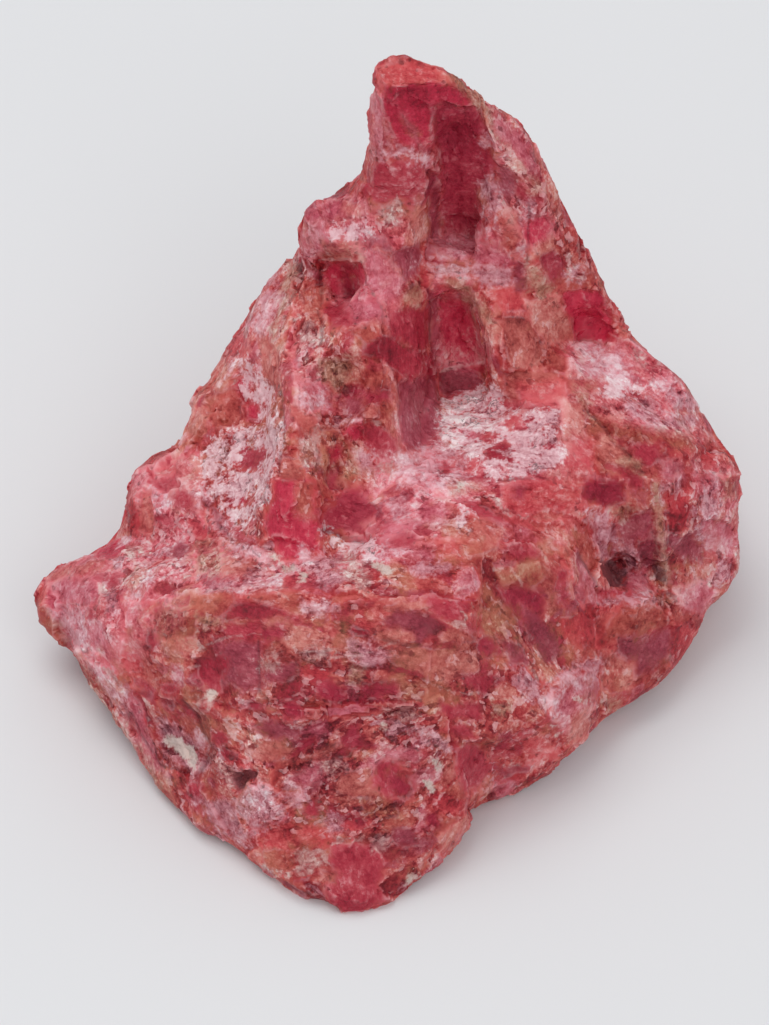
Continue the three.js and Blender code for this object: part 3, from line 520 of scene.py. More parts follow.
# Places where the grains are loosest, with dark and pale flecks between them.
PEPPERED = (
    "285,255 322,250 350,345 345,400 365,480 300,500 285,430 280,330",
    "345,205 400,200 400,235 350,240",
    "200,480 280,520 330,560 400,560 400,600 260,600 200,560",
    "140,500 200,500 260,560 200,585 110,590",
    "235,690 440,680 450,760 420,850 330,830 240,830 210,760",
    "440,395 500,385 505,480 440,450",
    "205,440 270,430 268,500 215,500",
    "500,600 560,620 570,680 520,680",
    "545,175 590,270 540,260 500,200",
)

# ---- scatter -------------------------------------------------------------------------------------


def rolls(cells, seed):
    """One number from 0 to 1 for each cell of a grid, always the same for the same cell and seed."""
    x, y, z = (cells[..., axis].astype(np.int64).astype(np.uint32) for axis in range(3))
    h = x * np.uint32(73856093) ^ y * np.uint32(19349663) ^ z * np.uint32(83492791)
    h = h ^ np.uint32(seed * 2654435761 % 2**32)
    for shift, factor in ((16, 0x7FEB352D), (15, 0x846CA68B)):
        h = (h ^ (h >> np.uint32(shift))) * np.uint32(factor)
    return (h ^ (h >> np.uint32(16))) / 2.0**32


def noise(points, size, seed):
    """Smooth noise from -1 to 1 with lumps of that size."""
    q = points / size
    corner = np.floor(q)
    t = q - corner
    t = t * t * (3 - 2 * t)
    total = np.zeros(len(points))
    for offset in np.ndindex(2, 2, 2):
        weight = np.prod(np.where(offset, t, 1 - t), axis=1)
        total += weight * rolls(corner + offset, seed)
    return total * 2 - 1


BLOCKS_BENT = 0.09  # how far the blocks' sides are bent, as a share of their size
ZONES_APART = 512  # cells, from one zone's blocks to the next one's


class Blocks:
    """Square-sided blocks that fill space, longest along the cleavage.

    They tell which block each point lies in, and how deep it lies there, in mm. Blocks in different zones
    are different ones.
    """

    def __init__(self, grain, zone, size, seed, lengthen):
        q = grain / (size * np.array([lengthen, 1.0, 1.0]))
        q = q + np.stack([noise(grain, size, seed + k) for k in (91, 92, 93)], axis=1) * BLOCKS_BENT
        apart = zone[:, None] * ZONES_APART
        near = np.full(len(q), np.inf)
        second = np.full(len(q), np.inf)
        self.cell = np.zeros(q.shape)
        for offset in np.ndindex(3, 3, 3):
            cell = np.floor(q) + offset - 1
            middle = cell + np.stack([rolls(cell + apart, seed + k) for k in (1, 2, 3)], axis=1)
            distance = np.max(np.abs(q - middle), axis=1)
            nearer = distance < near
            second = np.where(nearer, near, np.minimum(second, distance))
            near = np.where(nearer, distance, near)
            self.cell[nearer] = (cell + apart)[nearer]
        self.depth = (second - near) / 2 * size
        self.seed = seed
        _, number = np.unique(self.cell, axis=0, return_inverse=True)
        self.number = number.reshape(-1)

    def roll(self, which):
        """A number from 0 to 1 for the block that each point lies in."""
        return rolls(self.cell, self.seed + 100 + which)

    def mean(self, values):
        """The block's mean of some values at the points."""
        count = np.bincount(self.number)
        sums = [np.bincount(self.number, column) for column in values.T]
        return (np.stack(sums, axis=1) / count[:, None])[self.number]


def unit(vectors):
    return vectors / np.maximum(np.linalg.norm(vectors, axis=-1, keepdims=True), 1e-9)


def dot(a, b):
    return np.sum(a * b, axis=-1)


def ease(low, high, x):
    """0 below low, 1 above high and smooth between."""
    t = np.clip((x - low) / (high - low), 0, 1)
    return t * t * (3 - 2 * t)


def held(x, most):
    """x, held softly within plus and minus most."""
    return x / (1 + np.abs(x) / most)


def distance_to(marks, starts, ends):
    """How far the marks lie from the nearest of some lines on the chart, in mm."""
    nearest = np.full(len(marks), np.inf)
    for start, end in zip(starts, ends):
        side = end - start
        to_mark = marks - start
        along = np.clip(to_mark @ side / (side @ side), 0, 1)
        nearest = np.minimum(nearest, np.linalg.norm(to_mark - np.outer(along, side), axis=1))
    return nearest / CHART_UNITS_PER_MM


def depth_inside(marks, corners):
    """How far inside a charted outline the marks lie, in mm. It is negative outside."""
    ends = np.roll(corners, -1, axis=0)
    inside = np.zeros(len(marks), bool)
    for start, end in zip(corners, ends):
        level = (start[1] > marks[:, 1]) != (end[1] > marks[:, 1])
        rise = end[1] - start[1] or 1e-9
        inside ^= level & (marks[:, 0] < start[0] + (marks[:, 1] - start[1]) * (end[0] - start[0]) / rise)
    nearest = distance_to(marks, corners, ends)
    return np.where(inside, nearest, -nearest)


# ---- the broken skin -----------------------------------------------------------------------------

VOXEL = 0.36  # mm
TRIANGLES = 196_000
WELD = 0.001  # mm, the solid's points closer than this are one
FOOT_CLEARANCE = 0.05  # mm, least height of the skin round the resting face
FAR = 3.0  # mm, as far outside an outline as is told apart
PATCH_FADE = 2.0  # mm, half the width over which a broad patch fades out
# Rounds of smoothing: to take the solid's own facets off, to feel the broad lie of the skin, and to find
# what stands out from it as a ridge.
FACETS_OFF, BROAD_LIE, RIDGES_OFF = 8, 40, 6

# Where the chart gives no direction, smooth noise of this size, in mm, parts the stone into zones, three to
# each side of its mean, and each is turned by so many degrees from the one before.
ZONE_SIZE, ZONES_EACH_SIDE, ZONE_START, ZONE_TURN = 24.0, 3, 15, 40
CHARTED_ZONES, TURNED_ZONES = 10, 100  # the numbers that these zones start from
ZONE_EDGE_WAVES, ZONE_EDGE_REACH = 3.5, 1.2  # mm
# Outlines with more points than this, turned further than this from what is round them, are zones too.
TURNED_POINTS, TURNED_DEGREES = 250, 25

EDGE_LUMPS = ((1.8, 0.4, 9), (0.8, 0.2, 10))  # that outlines wander by: size and reach in mm, and seed
SUNK = 0.7  # how much of a window's depth is left once the skin round it has crumbled
SOFT_RIM = 0.35  # mm, half the width over which a window is let in
CLEAR_RIM = 0.5  # mm, from a window's edge to where it is quite clear
FLATTEST, FLATTENED = 0.8, 0.75  # how far, in mm, and how much, a window's skin is drawn into a plane
TINT_SPREAD, TINT_SLOPE = 0.7, 2.4  # how much windows differ in tone, and how much one changes along itself

GRANULAR_SIZE, GRANULAR_MOST = 8.0, 0.7  # mm across loose-grained areas, and how loose they are
LEDGE_WIDTH, LEDGE_LENGTH = 0.8, 7.0  # mm
LEDGE_WAVES, LEDGE_BENT = 4.0, 0.3  # mm, and a share of the width
# How high ledges are, in mm, how much higher where the skin is rough, and what share of that is left on the
# sides that the chart doesn't show.
LEDGE_HEIGHT, LEDGE_ROUGH, LEDGE_HIDDEN = 0.14, 0.1, 0.5
LOOSE_GRAIN = 0.25  # mm between the loose grains that stand out furthest and those that lie back furthest
CRACK_OPENED = 0.6  # share of a crack's depth that the skin is drawn in by
SHADE_SIZE, SHADE_MOST = 16.0, 0.4  # mm across broad changes of the ground, and how strong they are
# How far under a charted rim loose blocks may reach, and how far inside its edge a loose block is covered.
LOOSE_UNDER_RIM, LOOSE_INSIDE = 0.1, 0.2  # mm

# What lies in the skin, and how far in, in mm, its cover goes on getting surer.
KINDS = {
    "salmon": 1.0,
    "rose": 1.0,
    "orange": 1.0,
    "red": 1.0,
    # a purplish red, partly the stone's own colour and partly painted shade on faces that lie in shadow
    "plum_and_shade": 1.2,
    "crimson": 1.4,
    "cerise": 1.4,
    # a very dark crimson, partly the stone's own colour and partly painted shade on windows in shadow and
    # in dark creases
    "deep": 1.2,
    "lilac": 0.6,
    "tan": 0.6,
    "brown": 0.5,
    "dust": 0.5,
    "crust": 0.5,
    "white": 2.0,
    # the pits' dark grey-brown is painted shade in the holes
    "shaded_pit": 2.0,
}
# These are broken flat, with a glassy face.
CLEAR_KINDS = ("salmon", "rose", "orange", "red", "plum_and_shade", "crimson", "cerise", "deep")
# The kinds of the blocks that no outline takes in, by the block's roll: large blocks, and middling ones.
LOOSE_BIG = (
    ("crimson", 0.0, 0.07),
    ("cerise", 0.07, 0.13),
    ("red", 0.13, 0.2),
    ("rose", 0.2, 0.3),
    ("lilac", 0.95, 1.1),
)
LOOSE = (
    ("crimson", 0.0, 0.12),
    ("plum_and_shade", 0.12, 0.16),
    ("red", 0.16, 0.26),
    ("orange", 0.26, 0.34),
    ("salmon", 0.34, 0.4),
    ("rose", 0.4, 0.5),
    ("lilac", 0.93, 0.97),
    ("dust", 0.97, 1.1),
)


class Skin:
    """The stone's surface while it is being shaped: where its points are, in mm, and what lies there."""

    def __init__(self, mesh):
        self.mesh = mesh
        co = np.zeros(len(mesh.vertices) * 3)
        mesh.vertices.foreach_get("co", co)
        self.at = co.reshape(-1, 3) / MM
        edges = np.zeros(len(mesh.edges) * 2, np.int32)
        mesh.edges.foreach_get("vertices", edges)
        self.ends = edges.reshape(-1, 2)
        self.degree = np.bincount(self.ends.ravel(), minlength=len(self.at))
        self.sole = self.at[:, 2] < VOXEL / 2

        self.move(self.smoothed(self.at, FACETS_OFF) - self.at)
        self.facing = unit(self.smoothed(self.normals(), BROAD_LIE))
        self.start = self.at.copy()
        self.marks = charted(self.start)
        self.in_sight = dot(self.facing, TO_EYE) > 0
        self.zone = np.floor(noise(self.start, ZONE_SIZE, 3) * ZONES_EACH_SIDE)
        self.angle = ZONE_START + ZONE_TURN * self.zone  # degrees on the chart
        self.chart_cleavage()

        self.depth = {kind: np.full(len(self.at), -FAR) for kind in KINDS}  # mm inside the kind
        self.rim = np.full(len(self.at), -FAR)  # mm inside any charted outline
        self.clear = np.zeros(len(self.at))

    def chart_cleavage(self):
        """Puts the charted zones in place of the random ones."""
        wobble = noise(self.start, ZONE_EDGE_WAVES, 4) * ZONE_EDGE_REACH
        for number, (degrees, outline) in enumerate(CLEAVAGE):
            corners = corners_of(outline)
            near = self.near(corners)
            body = near[depth_inside(self.marks[near], corners) + wobble[near] > 0]
            self.zone[body] = CHARTED_ZONES + number
            self.angle[body] = degrees

    def neighbour_mean(self, values):
        a, b = self.ends.T
        sums = []
        for column in values.reshape(len(values), -1).T:
            total = np.bincount(a, column[b], len(values)) + np.bincount(b, column[a], len(values))
            sums.append(total / self.degree)
        return np.stack(sums, axis=1).reshape(values.shape)

    def smoothed(self, values, rounds):
        for _ in range(rounds):
            values = (values + self.neighbour_mean(values)) / 2
        return values

    def normals(self):
        self.write()
        flat = np.zeros(len(self.at) * 3, np.float32)
        self.mesh.vertex_normals.foreach_get("vector", flat)
        return flat.reshape(-1, 3).astype(float)

    def write(self):
        self.mesh.vertices.foreach_set("co", (self.at * MM).ravel().astype(np.float32))
        self.mesh.update()

    def move(self, step):
        """Moves the points, but never off the resting face or below it."""
        at = self.at + step
        at[self.sole, 2] = 0
        free = ~self.sole
        at[free, 2] = np.maximum(at[free, 2], FOOT_CLEARANCE)
        self.at = at

    def near(self, corners):
        """The points that are in sight and near the box round some charted corners."""
        margin = FAR * CHART_UNITS_PER_MM
        low = self.marks > corners.min(0) - margin
        high = self.marks < corners.max(0) + margin
        return np.flatnonzero(self.in_sight & np.all(low & high, axis=1))

    def taken_in(self, outlines):
        """How far some charted outlines take the points in, from 0 to 1, fading out at their edges."""
        most = np.zeros(len(self.at))
        for outline in outlines:
            corners = corners_of(outline)
            near = self.near(corners)
            inside = depth_inside(self.marks[near], corners)
            most[near] = np.maximum(most[near], ease(-PATCH_FADE, PATCH_FADE, inside))
        return most

    def nearness(self, lines):
        """How deep, in mm, the points lie in the nearest of some charted lines, given their half widths."""
        most = np.full(len(self.at), -FAR)
        for *_, half_width, way in lines:
            corners = corners_of(way)
            near = self.near(corners)
            distance = distance_to(self.marks[near], corners[:-1], corners[1:])
            most[near] = np.maximum(most[near], half_width - distance)
        return most

    def whole(self):
        """1 within a zone, and 0 where a point is within two edges of another zone."""
        a, b = self.ends.T
        cut = np.zeros(len(self.at))
        cut[self.ends[self.zone[a] != self.zone[b]].ravel()] = 1
        return 1.0 - ((self.neighbour_mean(cut) + cut) > 0)

    def grain(self):
        """The points' places along the cleavage, across it, and towards the eye, in mm."""
        turn = np.radians(self.angle)[:, None]
        along = ACROSS_CHART * np.cos(turn) + DOWN_CHART * np.sin(turn)
        across = DOWN_CHART * np.cos(turn) - ACROSS_CHART * np.sin(turn)
        return np.stack([dot(self.start, along), dot(self.start, across), self.start @ TO_EYE], axis=1)

    def sink_in(self, kind, here, inside):
        """Puts a kind at some points, so deep inside its edge."""
        self.depth[kind][here] = np.maximum(self.depth[kind][here], inside)
        if kind in CLEAR_KINDS:
            self.clear[here] = np.maximum(self.clear[here], ease(0, CLEAR_RIM, inside))

    def note(self, name, values):
        """Keeps a value or a vector for each point on the mesh."""
        one = values.ndim == 1
        layer = self.mesh.attributes.new(name, "FLOAT" if one else "FLOAT_VECTOR", "POINT")
        layer.data.foreach_set("value" if one else "vector", values.ravel().astype(np.float32))


def blank_mesh(node):
    """The frame's solid as an even, fine mesh."""
    welded = bmesh.new()
    welded.from_mesh(node.data)
    bmesh.ops.remove_doubles(welded, verts=welded.verts, dist=WELD * MM)
    mesh = bpy.data.meshes.new("blank")
    welded.to_mesh(mesh)
    welded.free()
    blank = bpy.data.objects.new("blank", mesh)
    bpy.context.scene.collection.objects.link(blank)
    remesh = blank.modifiers.new("remesh", "REMESH")
    remesh.mode = "VOXEL"
    remesh.voxel_size = VOXEL * MM
    fine = bpy.data.meshes.new_from_object(blank.evaluated_get(bpy.context.evaluated_depsgraph_get()))
    bpy.data.objects.remove(blank)
    return fine


def flatten(skin, blocks, lean, most, strength, terrace):
    """Draws each block's skin towards a plane of its own through its middle, and sets it in or out."""
    tilt = np.stack([blocks.roll(k) - 0.5 for k in (1, 2, 3)], axis=1)
    square = unit(unit(blocks.mean(skin.facing)) + unit(tilt) * math.tan(math.radians(lean)))
    lift = dot(blocks.mean(skin.at) - skin.at, square)
    out = (blocks.roll(6) - 0.5) * terrace
    skin.move(square * (held(lift, most) * strength + out)[:, None])


def let_in_crystals(skin, wander, pick):
    """Lets in what the chart shows. The last outline drawn lies on top."""
    for number, (kind, degrees, sink, outline) in enumerate(CRYSTALS):
        corners = corners_of(outline)
        near = skin.near(corners)
        inside = depth_inside(skin.marks[near], corners) + wander[near]
        body = inside > 0
        for other in KINDS:
            skin.depth[other][near] = np.minimum(skin.depth[other][near], -inside)
        skin.rim[near] = np.where(body, inside, np.maximum(skin.rim[near], inside))
        middle = skin.at[near[body]].mean(0)
        square = unit(skin.facing[near[body]].mean(0))
        lift = np.zeros(len(near))
        if kind in CLEAR_KINDS:
            lift = held((middle - skin.at[near]) @ square, FLATTEST) * FLATTENED
        skin.sink_in(kind, near, inside)
        step = np.zeros(skin.at.shape)
        step[near] = square * ((lift - sink * SUNK) * ease(-SOFT_RIM, SOFT_RIM, inside))[:, None]
        skin.move(step)

        turned = abs(degrees - np.median(skin.angle[near[body]])) > TURNED_DEGREES
        if body.sum() > TURNED_POINTS and turned:
            skin.zone[near[body]] = TURNED_ZONES + number
            skin.angle[near[body]] = degrees
        # each window is lighter towards one end
        lengthways = np.array([math.cos(math.radians(degrees)), math.sin(math.radians(degrees))])
        place = skin.marks[near[body]] @ lengthways
        place = (place - place.mean()) / (np.ptp(place) + 1)
        tint, slope = rolls(np.array([[number, 7, 7], [number, 8, 8]]), 31)
        pick[near[body]] = 0.5 + (tint - 0.5) * TINT_SPREAD + place * (slope - 0.5) * TINT_SLOPE


def fill_between(skin, big, medium, wander):
    """Gives kinds to some of the blocks that no outline takes in."""
    bare = skin.rim <= -FAR
    open_ground = skin.rim < LOOSE_UNDER_RIM
    for blocks, free, kinds in ((big, bare, LOOSE_BIG), (medium, open_ground, LOOSE)):
        loose = blocks.roll(10)
        inside = blocks.depth + wander - LOOSE_INSIDE
        for kind, low, high in kinds:
            here = free & (loose >= low) & (loose < high)
            skin.sink_in(kind, here, inside[here])


def crumble(skin, peppered):
    """Breaks ledges, loosens grains and opens the cracks. Returns how loose-grained each point is."""
    rough = 1 - skin.clear
    granular = ease(-0.1, 0.4, noise(skin.start, GRANULAR_SIZE, 71)) * GRANULAR_MOST
    granular = np.maximum(granular, peppered) * rough
    grain = skin.grain()
    line = np.floor(grain[:, 1] / LEDGE_WIDTH + noise(skin.start, LEDGE_WAVES, 51) * LEDGE_BENT)
    length = np.floor(grain[:, 0] / LEDGE_LENGTH + rolls(line[:, None] * [1, 0, 0], 52))
    ledge = rolls(np.stack([line, skin.zone, length], axis=1), 61)
    height = (LEDGE_HEIGHT + LEDGE_ROUGH * rough) * np.where(skin.in_sight, 1.0, LEDGE_HIDDEN)
    skin.move(skin.facing * ((ledge - 0.5) * height)[:, None])
    small = Blocks(grain, skin.zone, size=1.3, seed=13, lengthen=2.2)
    flatten(skin, small, lean=16, most=0.25, strength=0.12, terrace=0.03)
    skin.move(skin.facing * ((small.roll(7) - 0.5) * LOOSE_GRAIN * granular)[:, None])
    for deep, half_width, way in CRACKS:
        opened = ease(-0.4, 0.1, skin.nearness(((half_width, way),)))
        skin.move(-skin.facing * (opened * deep * CRACK_OPENED)[:, None])
    return granular


def broad_shade(skin):
    """How much lighter and pinker, or darker and browner, the ground is, from 1 to -1."""
    shade = noise(skin.start, SHADE_SIZE, 5) * SHADE_MOST
    for outlines, change in ((ROSY, 1.0), (DUSKY, -1.0)):
        most = skin.taken_in(outlines)
        shade = shade * (1 - most) + change * most
    return shade


def thinned(stone):
    """Thins the skin out to TRIANGLES triangles, and keeps it within the frame's box."""
    thin = stone.modifiers.new("thin", "DECIMATE")
    thin.ratio = TRIANGLES / (2 * len(stone.data.polygons))
    thin.use_collapse_triangulate = True
    mesh = bpy.data.meshes.new_from_object(stone.evaluated_get(bpy.context.evaluated_depsgraph_get()))
    stone.modifiers.clear()
    stone.data = mesh
    low, high = cad_box
    for vertex in mesh.vertices:
        for axis in range(3):
            vertex.co[axis] = min(max(vertex.co[axis], low[axis]), high[axis])


def build_stone(node):
    """The stone's skin, made from the frame's solid."""
    skin = Skin(blank_mesh(node))
    grain = skin.grain()
    big = Blocks(grain, skin.zone, size=7.5, seed=11, lengthen=1.8)
    medium = Blocks(grain, skin.zone, size=3.2, seed=12, lengthen=2.0)
    flatten(skin, big, lean=10, most=0.8, strength=0.85, terrace=0.4)
    flatten(skin, medium, lean=12, most=0.4, strength=0.75, terrace=0.24)

    wander = sum(noise(skin.start, size, seed) * reach for size, reach, seed in EDGE_LUMPS)
    pick = medium.roll(11)
    let_in_crystals(skin, wander, pick)
    fill_between(skin, big, medium, wander)
    granular = crumble(skin, skin.taken_in(PEPPERED))
    # How far each point stands out from the skin round it. In the colour it paints ridges lighter and
    # hollows darker, as painted light and painted shade.
    ridge = dot(skin.at - skin.smoothed(skin.at, RIDGES_OFF), skin.facing)
    skin.write()

    for kind, surest in KINDS.items():
        skin.note(kind, np.minimum(skin.depth[kind], surest))
    skin.note("rim", np.minimum(skin.rim, 1))
    skin.note("crack", skin.nearness(CRACKS))
    skin.note("vein", skin.nearness(VEINS))
    skin.note("shade", broad_shade(skin))
    skin.note("granular", granular)
    skin.note("pick", pick)
    skin.note("hue", medium.roll(13))
    skin.note("ridge", ridge)
    skin.note("whole", skin.whole())
    skin.note("grain", skin.grain())
    stone = bpy.data.objects.new("rhodonite_stone", skin.mesh)
    bpy.context.scene.collection.objects.link(stone)
    thinned(stone)
    return stone


# ---- colour --------------------------------------------------------------------------------------

# Lumps of colour and of relief: size in mm, how many finer layers, and how strong those are.
LUMPS = {
    "broad": (14.0, 2, 0.5),
    "patch": (5.0, 3, 0.55),
    "mid": (2.2, 3, 0.6),
    "mid_2": (2.9, 3, 0.6),
    "small": (1.0, 3, 0.6),
    "fine": (0.42, 2, 0.6),
}
LUMPS_APART = 7.3  # how far apart in the noise the sets of lumps are taken, so that they don't match

# Flakes: square-sided cells of three sizes, in mm, drawn out along the cleavage, their sides torn by noise.
FLAKES = {"large": 1.7, "middling": 0.7, "tiny": 0.4}
DRAWN_OUT = (0.72, 1.0, 1.0)  # the scale along the cleavage, across it and towards the eye
TEAR_SIZE, TEAR_REACH = 0.8, 0.34  # mm
LINES_STRETCHED, LINES_PER_MM = (0.16, 1.0, 1.0), 2.6

# How much each of these lightens the stone. Those in TONE and GRAINS run from 0 to 1 and are taken about
# their middle. The others lie about nought.
MIDDLE_TONE = 0.46
TONE = {"broad": 0.3, "patch": 0.55, "mid": 0.5, "small": 0.35, "fine": 0.25, "pick": 0.34}
# ridge paints light onto ridges and shade into hollows.
TONE_CHANGES = {"lines": 0.25, "ridge": 0.4, "shade": 0.07}
GRAINS = {"large_flake": 0.22, "middling_flake": 0.26, "tiny_flake": 0.26, "small": 0.3, "fine": 0.4}
# Each flake is painted lighter on one side and darker on the other, by its tilt: painted shading of the
# flakes.
PAINTED_FLAKE_SHADING = {"large_slope": 0.2, "middling_slope": 0.3, "tiny_slope": 0.3}
GRAINS_SHOW, GRAINS_SHOW_LOOSE = 0.4, 0.55  # how strong the grains are, and what loose-grained areas add
RAGGED = {"mid": 2.2, "small": 2.2, "fine": 1.4}  # mm, what tears the edges of what lies in the skin
RELIEF = {"small": 0.2, "fine": 0.22, "middling_flake": 0.22, "middling_slope": 1.1}  # mm
LINES_RELIEF = 0.3  # mm
RELIEF_SEEN, RELIEF_FILLED = 0.8, -0.4  # how strong the relief is, and what crust changes that by

# The colours of each kind, from its darkest tone, which in the clefts between its grains is painted shade,
# to the whitish flakes on top.
TONE_STEPS = (0.02, 0.25, 0.44, 0.6, 0.78, 1.0)
TINTS = {
    "ground": ("#6a0c16", "#a0262e", "#bc4446", "#d0605e", "#e49892", "#f8dcd4"),
    "rose_ground": ("#802234", "#bc4452", "#d86a74", "#e68a94", "#f4b8be", "#fdeaea"),
    "dusky_ground": ("#580c16", "#8e222c", "#ac3e40", "#be5856", "#d8908a", "#f0d2c8"),
    "salmon": ("#863430", "#b65a52", "#cc766c", "#da9086", "#eab2a8", "#f8e0d6"),
    "rose": ("#7e283a", "#b84e62", "#ce7282", "#dc909e", "#ecb8c0", "#f8e4e8"),
    "orange": ("#762420", "#a6443a", "#bc5c50", "#cc7668", "#de9e92", "#f4dace"),
    "red": ("#6a0c16", "#a82230", "#c43842", "#d25458", "#e48e90", "#f6cecc"),
    # a purplish red, partly the stone's own colour and partly painted shade on faces that lie in shadow
    "plum_and_shade": ("#561622", "#7e2636", "#963648", "#ac4e5e", "#ca9098", "#e8ccd0"),
    "crimson": ("#540a18", "#8a182a", "#a8263a", "#ba404e", "#d47e86", "#eec4c6"),
    "cerise": ("#5e081c", "#9c1630", "#be2442", "#ce3a52", "#e08086", "#f4c6ca"),
    # a very dark crimson, partly the stone's own colour and partly painted shade on windows in shadow and
    # in dark creases
    "deep": ("#480814", "#7e1026", "#9a1a36", "#b03046", "#c86874", "#e8b8be"),
    "lilac": ("#884a58", "#b87682", "#d0949e", "#deaab4", "#ecc8d0", "#f8eaee"),
    "tan": ("#64423a", "#9a6c58", "#b68672", "#c69c8a", "#dac0b0", "#f0e4dc"),
    "brown": ("#4c1e16", "#80402c", "#9c5840", "#b07258", "#cc9c84", "#e8d4c2"),
    "dust": ("#5e2c32", "#9a6264", "#b48482", "#c69c98", "#dabeb8", "#f0e4dc"),
    "crust": ("#a0646e", "#cc9aa2", "#deb4ba", "#e9c8cd", "#f2dee0", "#faf3f2"),
}
# How torn and how soft each kind's edges are, in mm, how strong its grains show, and how far it covers.
EDGES = {
    "salmon": (1.1, 1.3, 1.0, 0.7),
    "rose": (1.1, 1.3, 1.0, 0.7),
    "orange": (1.1, 1.3, 1.0, 0.65),
    "red": (0.9, 1.1, 0.9, 0.8),
    "plum_and_shade": (0.8, 0.8, 0.85, 0.84),
    "crimson": (0.8, 0.8, 0.8, 0.95),
    "cerise": (0.8, 0.8, 0.8, 0.95),
    "deep": (0.8, 0.9, 0.75, 0.9),
    "lilac": (1.6, 0.9, 1.1, 0.72),
    "tan": (1.2, 0.9, 1.0, 0.7),
    "brown": (1.3, 1.1, 1.0, 0.55),
    "dust": (1.8, 0.9, 1.2, 0.7),
    "crust": (2.0, 0.6, 0.9, 0.85),
    "white": (0.8, 0.4, 1.0, 0.8),
    # the pits' dark grey-brown is painted shade in the holes
    "shaded_pit": (0.5, 0.2, 1.0, 0.7),
}
PALE_KINDS = ("lilac", "tan", "brown", "dust", "crust")  # these lie on top of the flecks and chips


def linear(hex_colour):
    """An sRGB hex colour as linear RGBA."""
    parts = [int(hex_colour[i : i + 2], 16) / 255 for i in (1, 3, 5)]
    return (*[c / 12.92 if c <= 0.04045 else ((c + 0.055) / 1.055) ** 2.4 for c in parts], 1)


def add(tree, kind, inputs=(), out=0, **settings):
    """Adds a node with its settings. Its inputs, in order or by number or name, get a value or a link."""
    node = tree.nodes.new("ShaderNode" + kind)
    for name, value in settings.items():
        setattr(node, name, value)
    for number, value in inputs.items() if isinstance(inputs, dict) else enumerate(inputs):
        if isinstance(value, bpy.types.NodeSocket):
            tree.links.new(value, node.inputs[number])
        else:
            node.inputs[number].default_value = value
    return node.outputs[out]


def stone_parts(tree):
    """What the stone's looks are mixed from: what the skin notes, lumps, flakes and fine lines."""
    part = {}
    for name in (*KINDS, "pick", "hue", "shade", "ridge", "rim", "crack", "vein", "granular", "whole"):
        part[name] = add(tree, "Attribute", out=2, attribute_name=name)
    at = add(tree, "VectorMath", {0: add(tree, "TexCoord", out=3), 3: 1 / MM}, operation="SCALE")
    part["at"] = at
    for seed, (name, (size, layers, strength)) in enumerate(LUMPS.items()):
        inputs = {0: at, 1: seed * LUMPS_APART, 2: 1 / size, 3: layers, 4: strength}
        part[name] = add(tree, "TexNoise", inputs, noise_dimensions="4D")

    grain = add(tree, "Attribute", out=1, attribute_name="grain")
    torn = add(tree, "TexNoise", {0: at, 2: 1 / TEAR_SIZE, 3: 1.0}, out=1, noise_dimensions="3D")
    torn = add(tree, "VectorMath", {0: torn, 1: [TEAR_REACH] * 3, 2: grain}, operation="MULTIPLY_ADD")
    drawn_out = add(tree, "VectorMath", [torn, DRAWN_OUT], operation="MULTIPLY")
    for name, size in FLAKES.items():
        inputs = {0: drawn_out, 2: 1 / size}
        colour = add(tree, "TexVoronoi", inputs, out=1, distance="CHEBYCHEV")
        part[name + "_flake"] = add(tree, "SeparateColor", [colour])
        lean = add(tree, "VectorMath", {0: colour, 1: (0.5, 0.5, 0.5)}, operation="SUBTRACT")
        away = add(tree, "VectorMath", {0: drawn_out, 1: colour.node.outputs[2]}, operation="SUBTRACT")
        part[name + "_slope"] = add(tree, "VectorMath", {0: away, 1: lean}, out=1, operation="DOT_PRODUCT")

    lines = add(tree, "VectorMath", [grain, LINES_STRETCHED], operation="MULTIPLY")
    lines = add(tree, "TexNoise", {0: lines, 2: LINES_PER_MM, 3: 4.0, 4: 0.7}, noise_dimensions="3D")
    lines = add(tree, "Math", [lines, 0.5], operation="SUBTRACT")
    part["lines"] = add(tree, "Math", [lines, part["whole"]], operation="MULTIPLY")
    return part


def stone_tone(tree, part, showing):
    """How light the stone is at each place, from 0 to 1."""
    tone = MIDDLE_TONE - sum(TONE.values()) / 2
    # this takes in the painted light on ridges and the painted shade in hollows
    for name, weight in (TONE | TONE_CHANGES).items():
        tone = add(tree, "Math", [part[name], weight, tone], operation="MULTIPLY_ADD")
    # the grains, with painted shading across each flake
    grains = -sum(GRAINS.values()) / 2
    for name, weight in (GRAINS | PAINTED_FLAKE_SHADING).items():
        grains = add(tree, "Math", [part[name], weight, grains], operation="MULTIPLY_ADD")
    return add(tree, "Math", [grains, showing, tone], operation="MULTIPLY_ADD")


def stone_masks(tree, part, ragged):
    """How far each kind covers the stone, its edges torn by the lumps."""
    mask = {}
    for kind, (tearing, fade, _, cover) in EDGES.items():
        edge = add(tree, "Math", [ragged, tearing, part[kind]], operation="MULTIPLY_ADD")
        limits = [edge, -fade, fade, 0.0, cover]
        mask[kind] = add(tree, "MapRange", limits, interpolation_type="SMOOTHSTEP")
    dusk = add(tree, "Math", [part["shade"], -1.0], operation="MULTIPLY")
    for kind, amount, cover in (("rose_ground", part["shade"], 0.9), ("dusky_ground", dusk, 0.85)):
        edge = add(tree, "Math", [ragged, 0.35, amount], operation="MULTIPLY_ADD")
        mask[kind] = add(tree, "MapRange", [edge, 0.0, 0.7, 0.0, cover], interpolation_type="SMOOTHSTEP")
    return mask


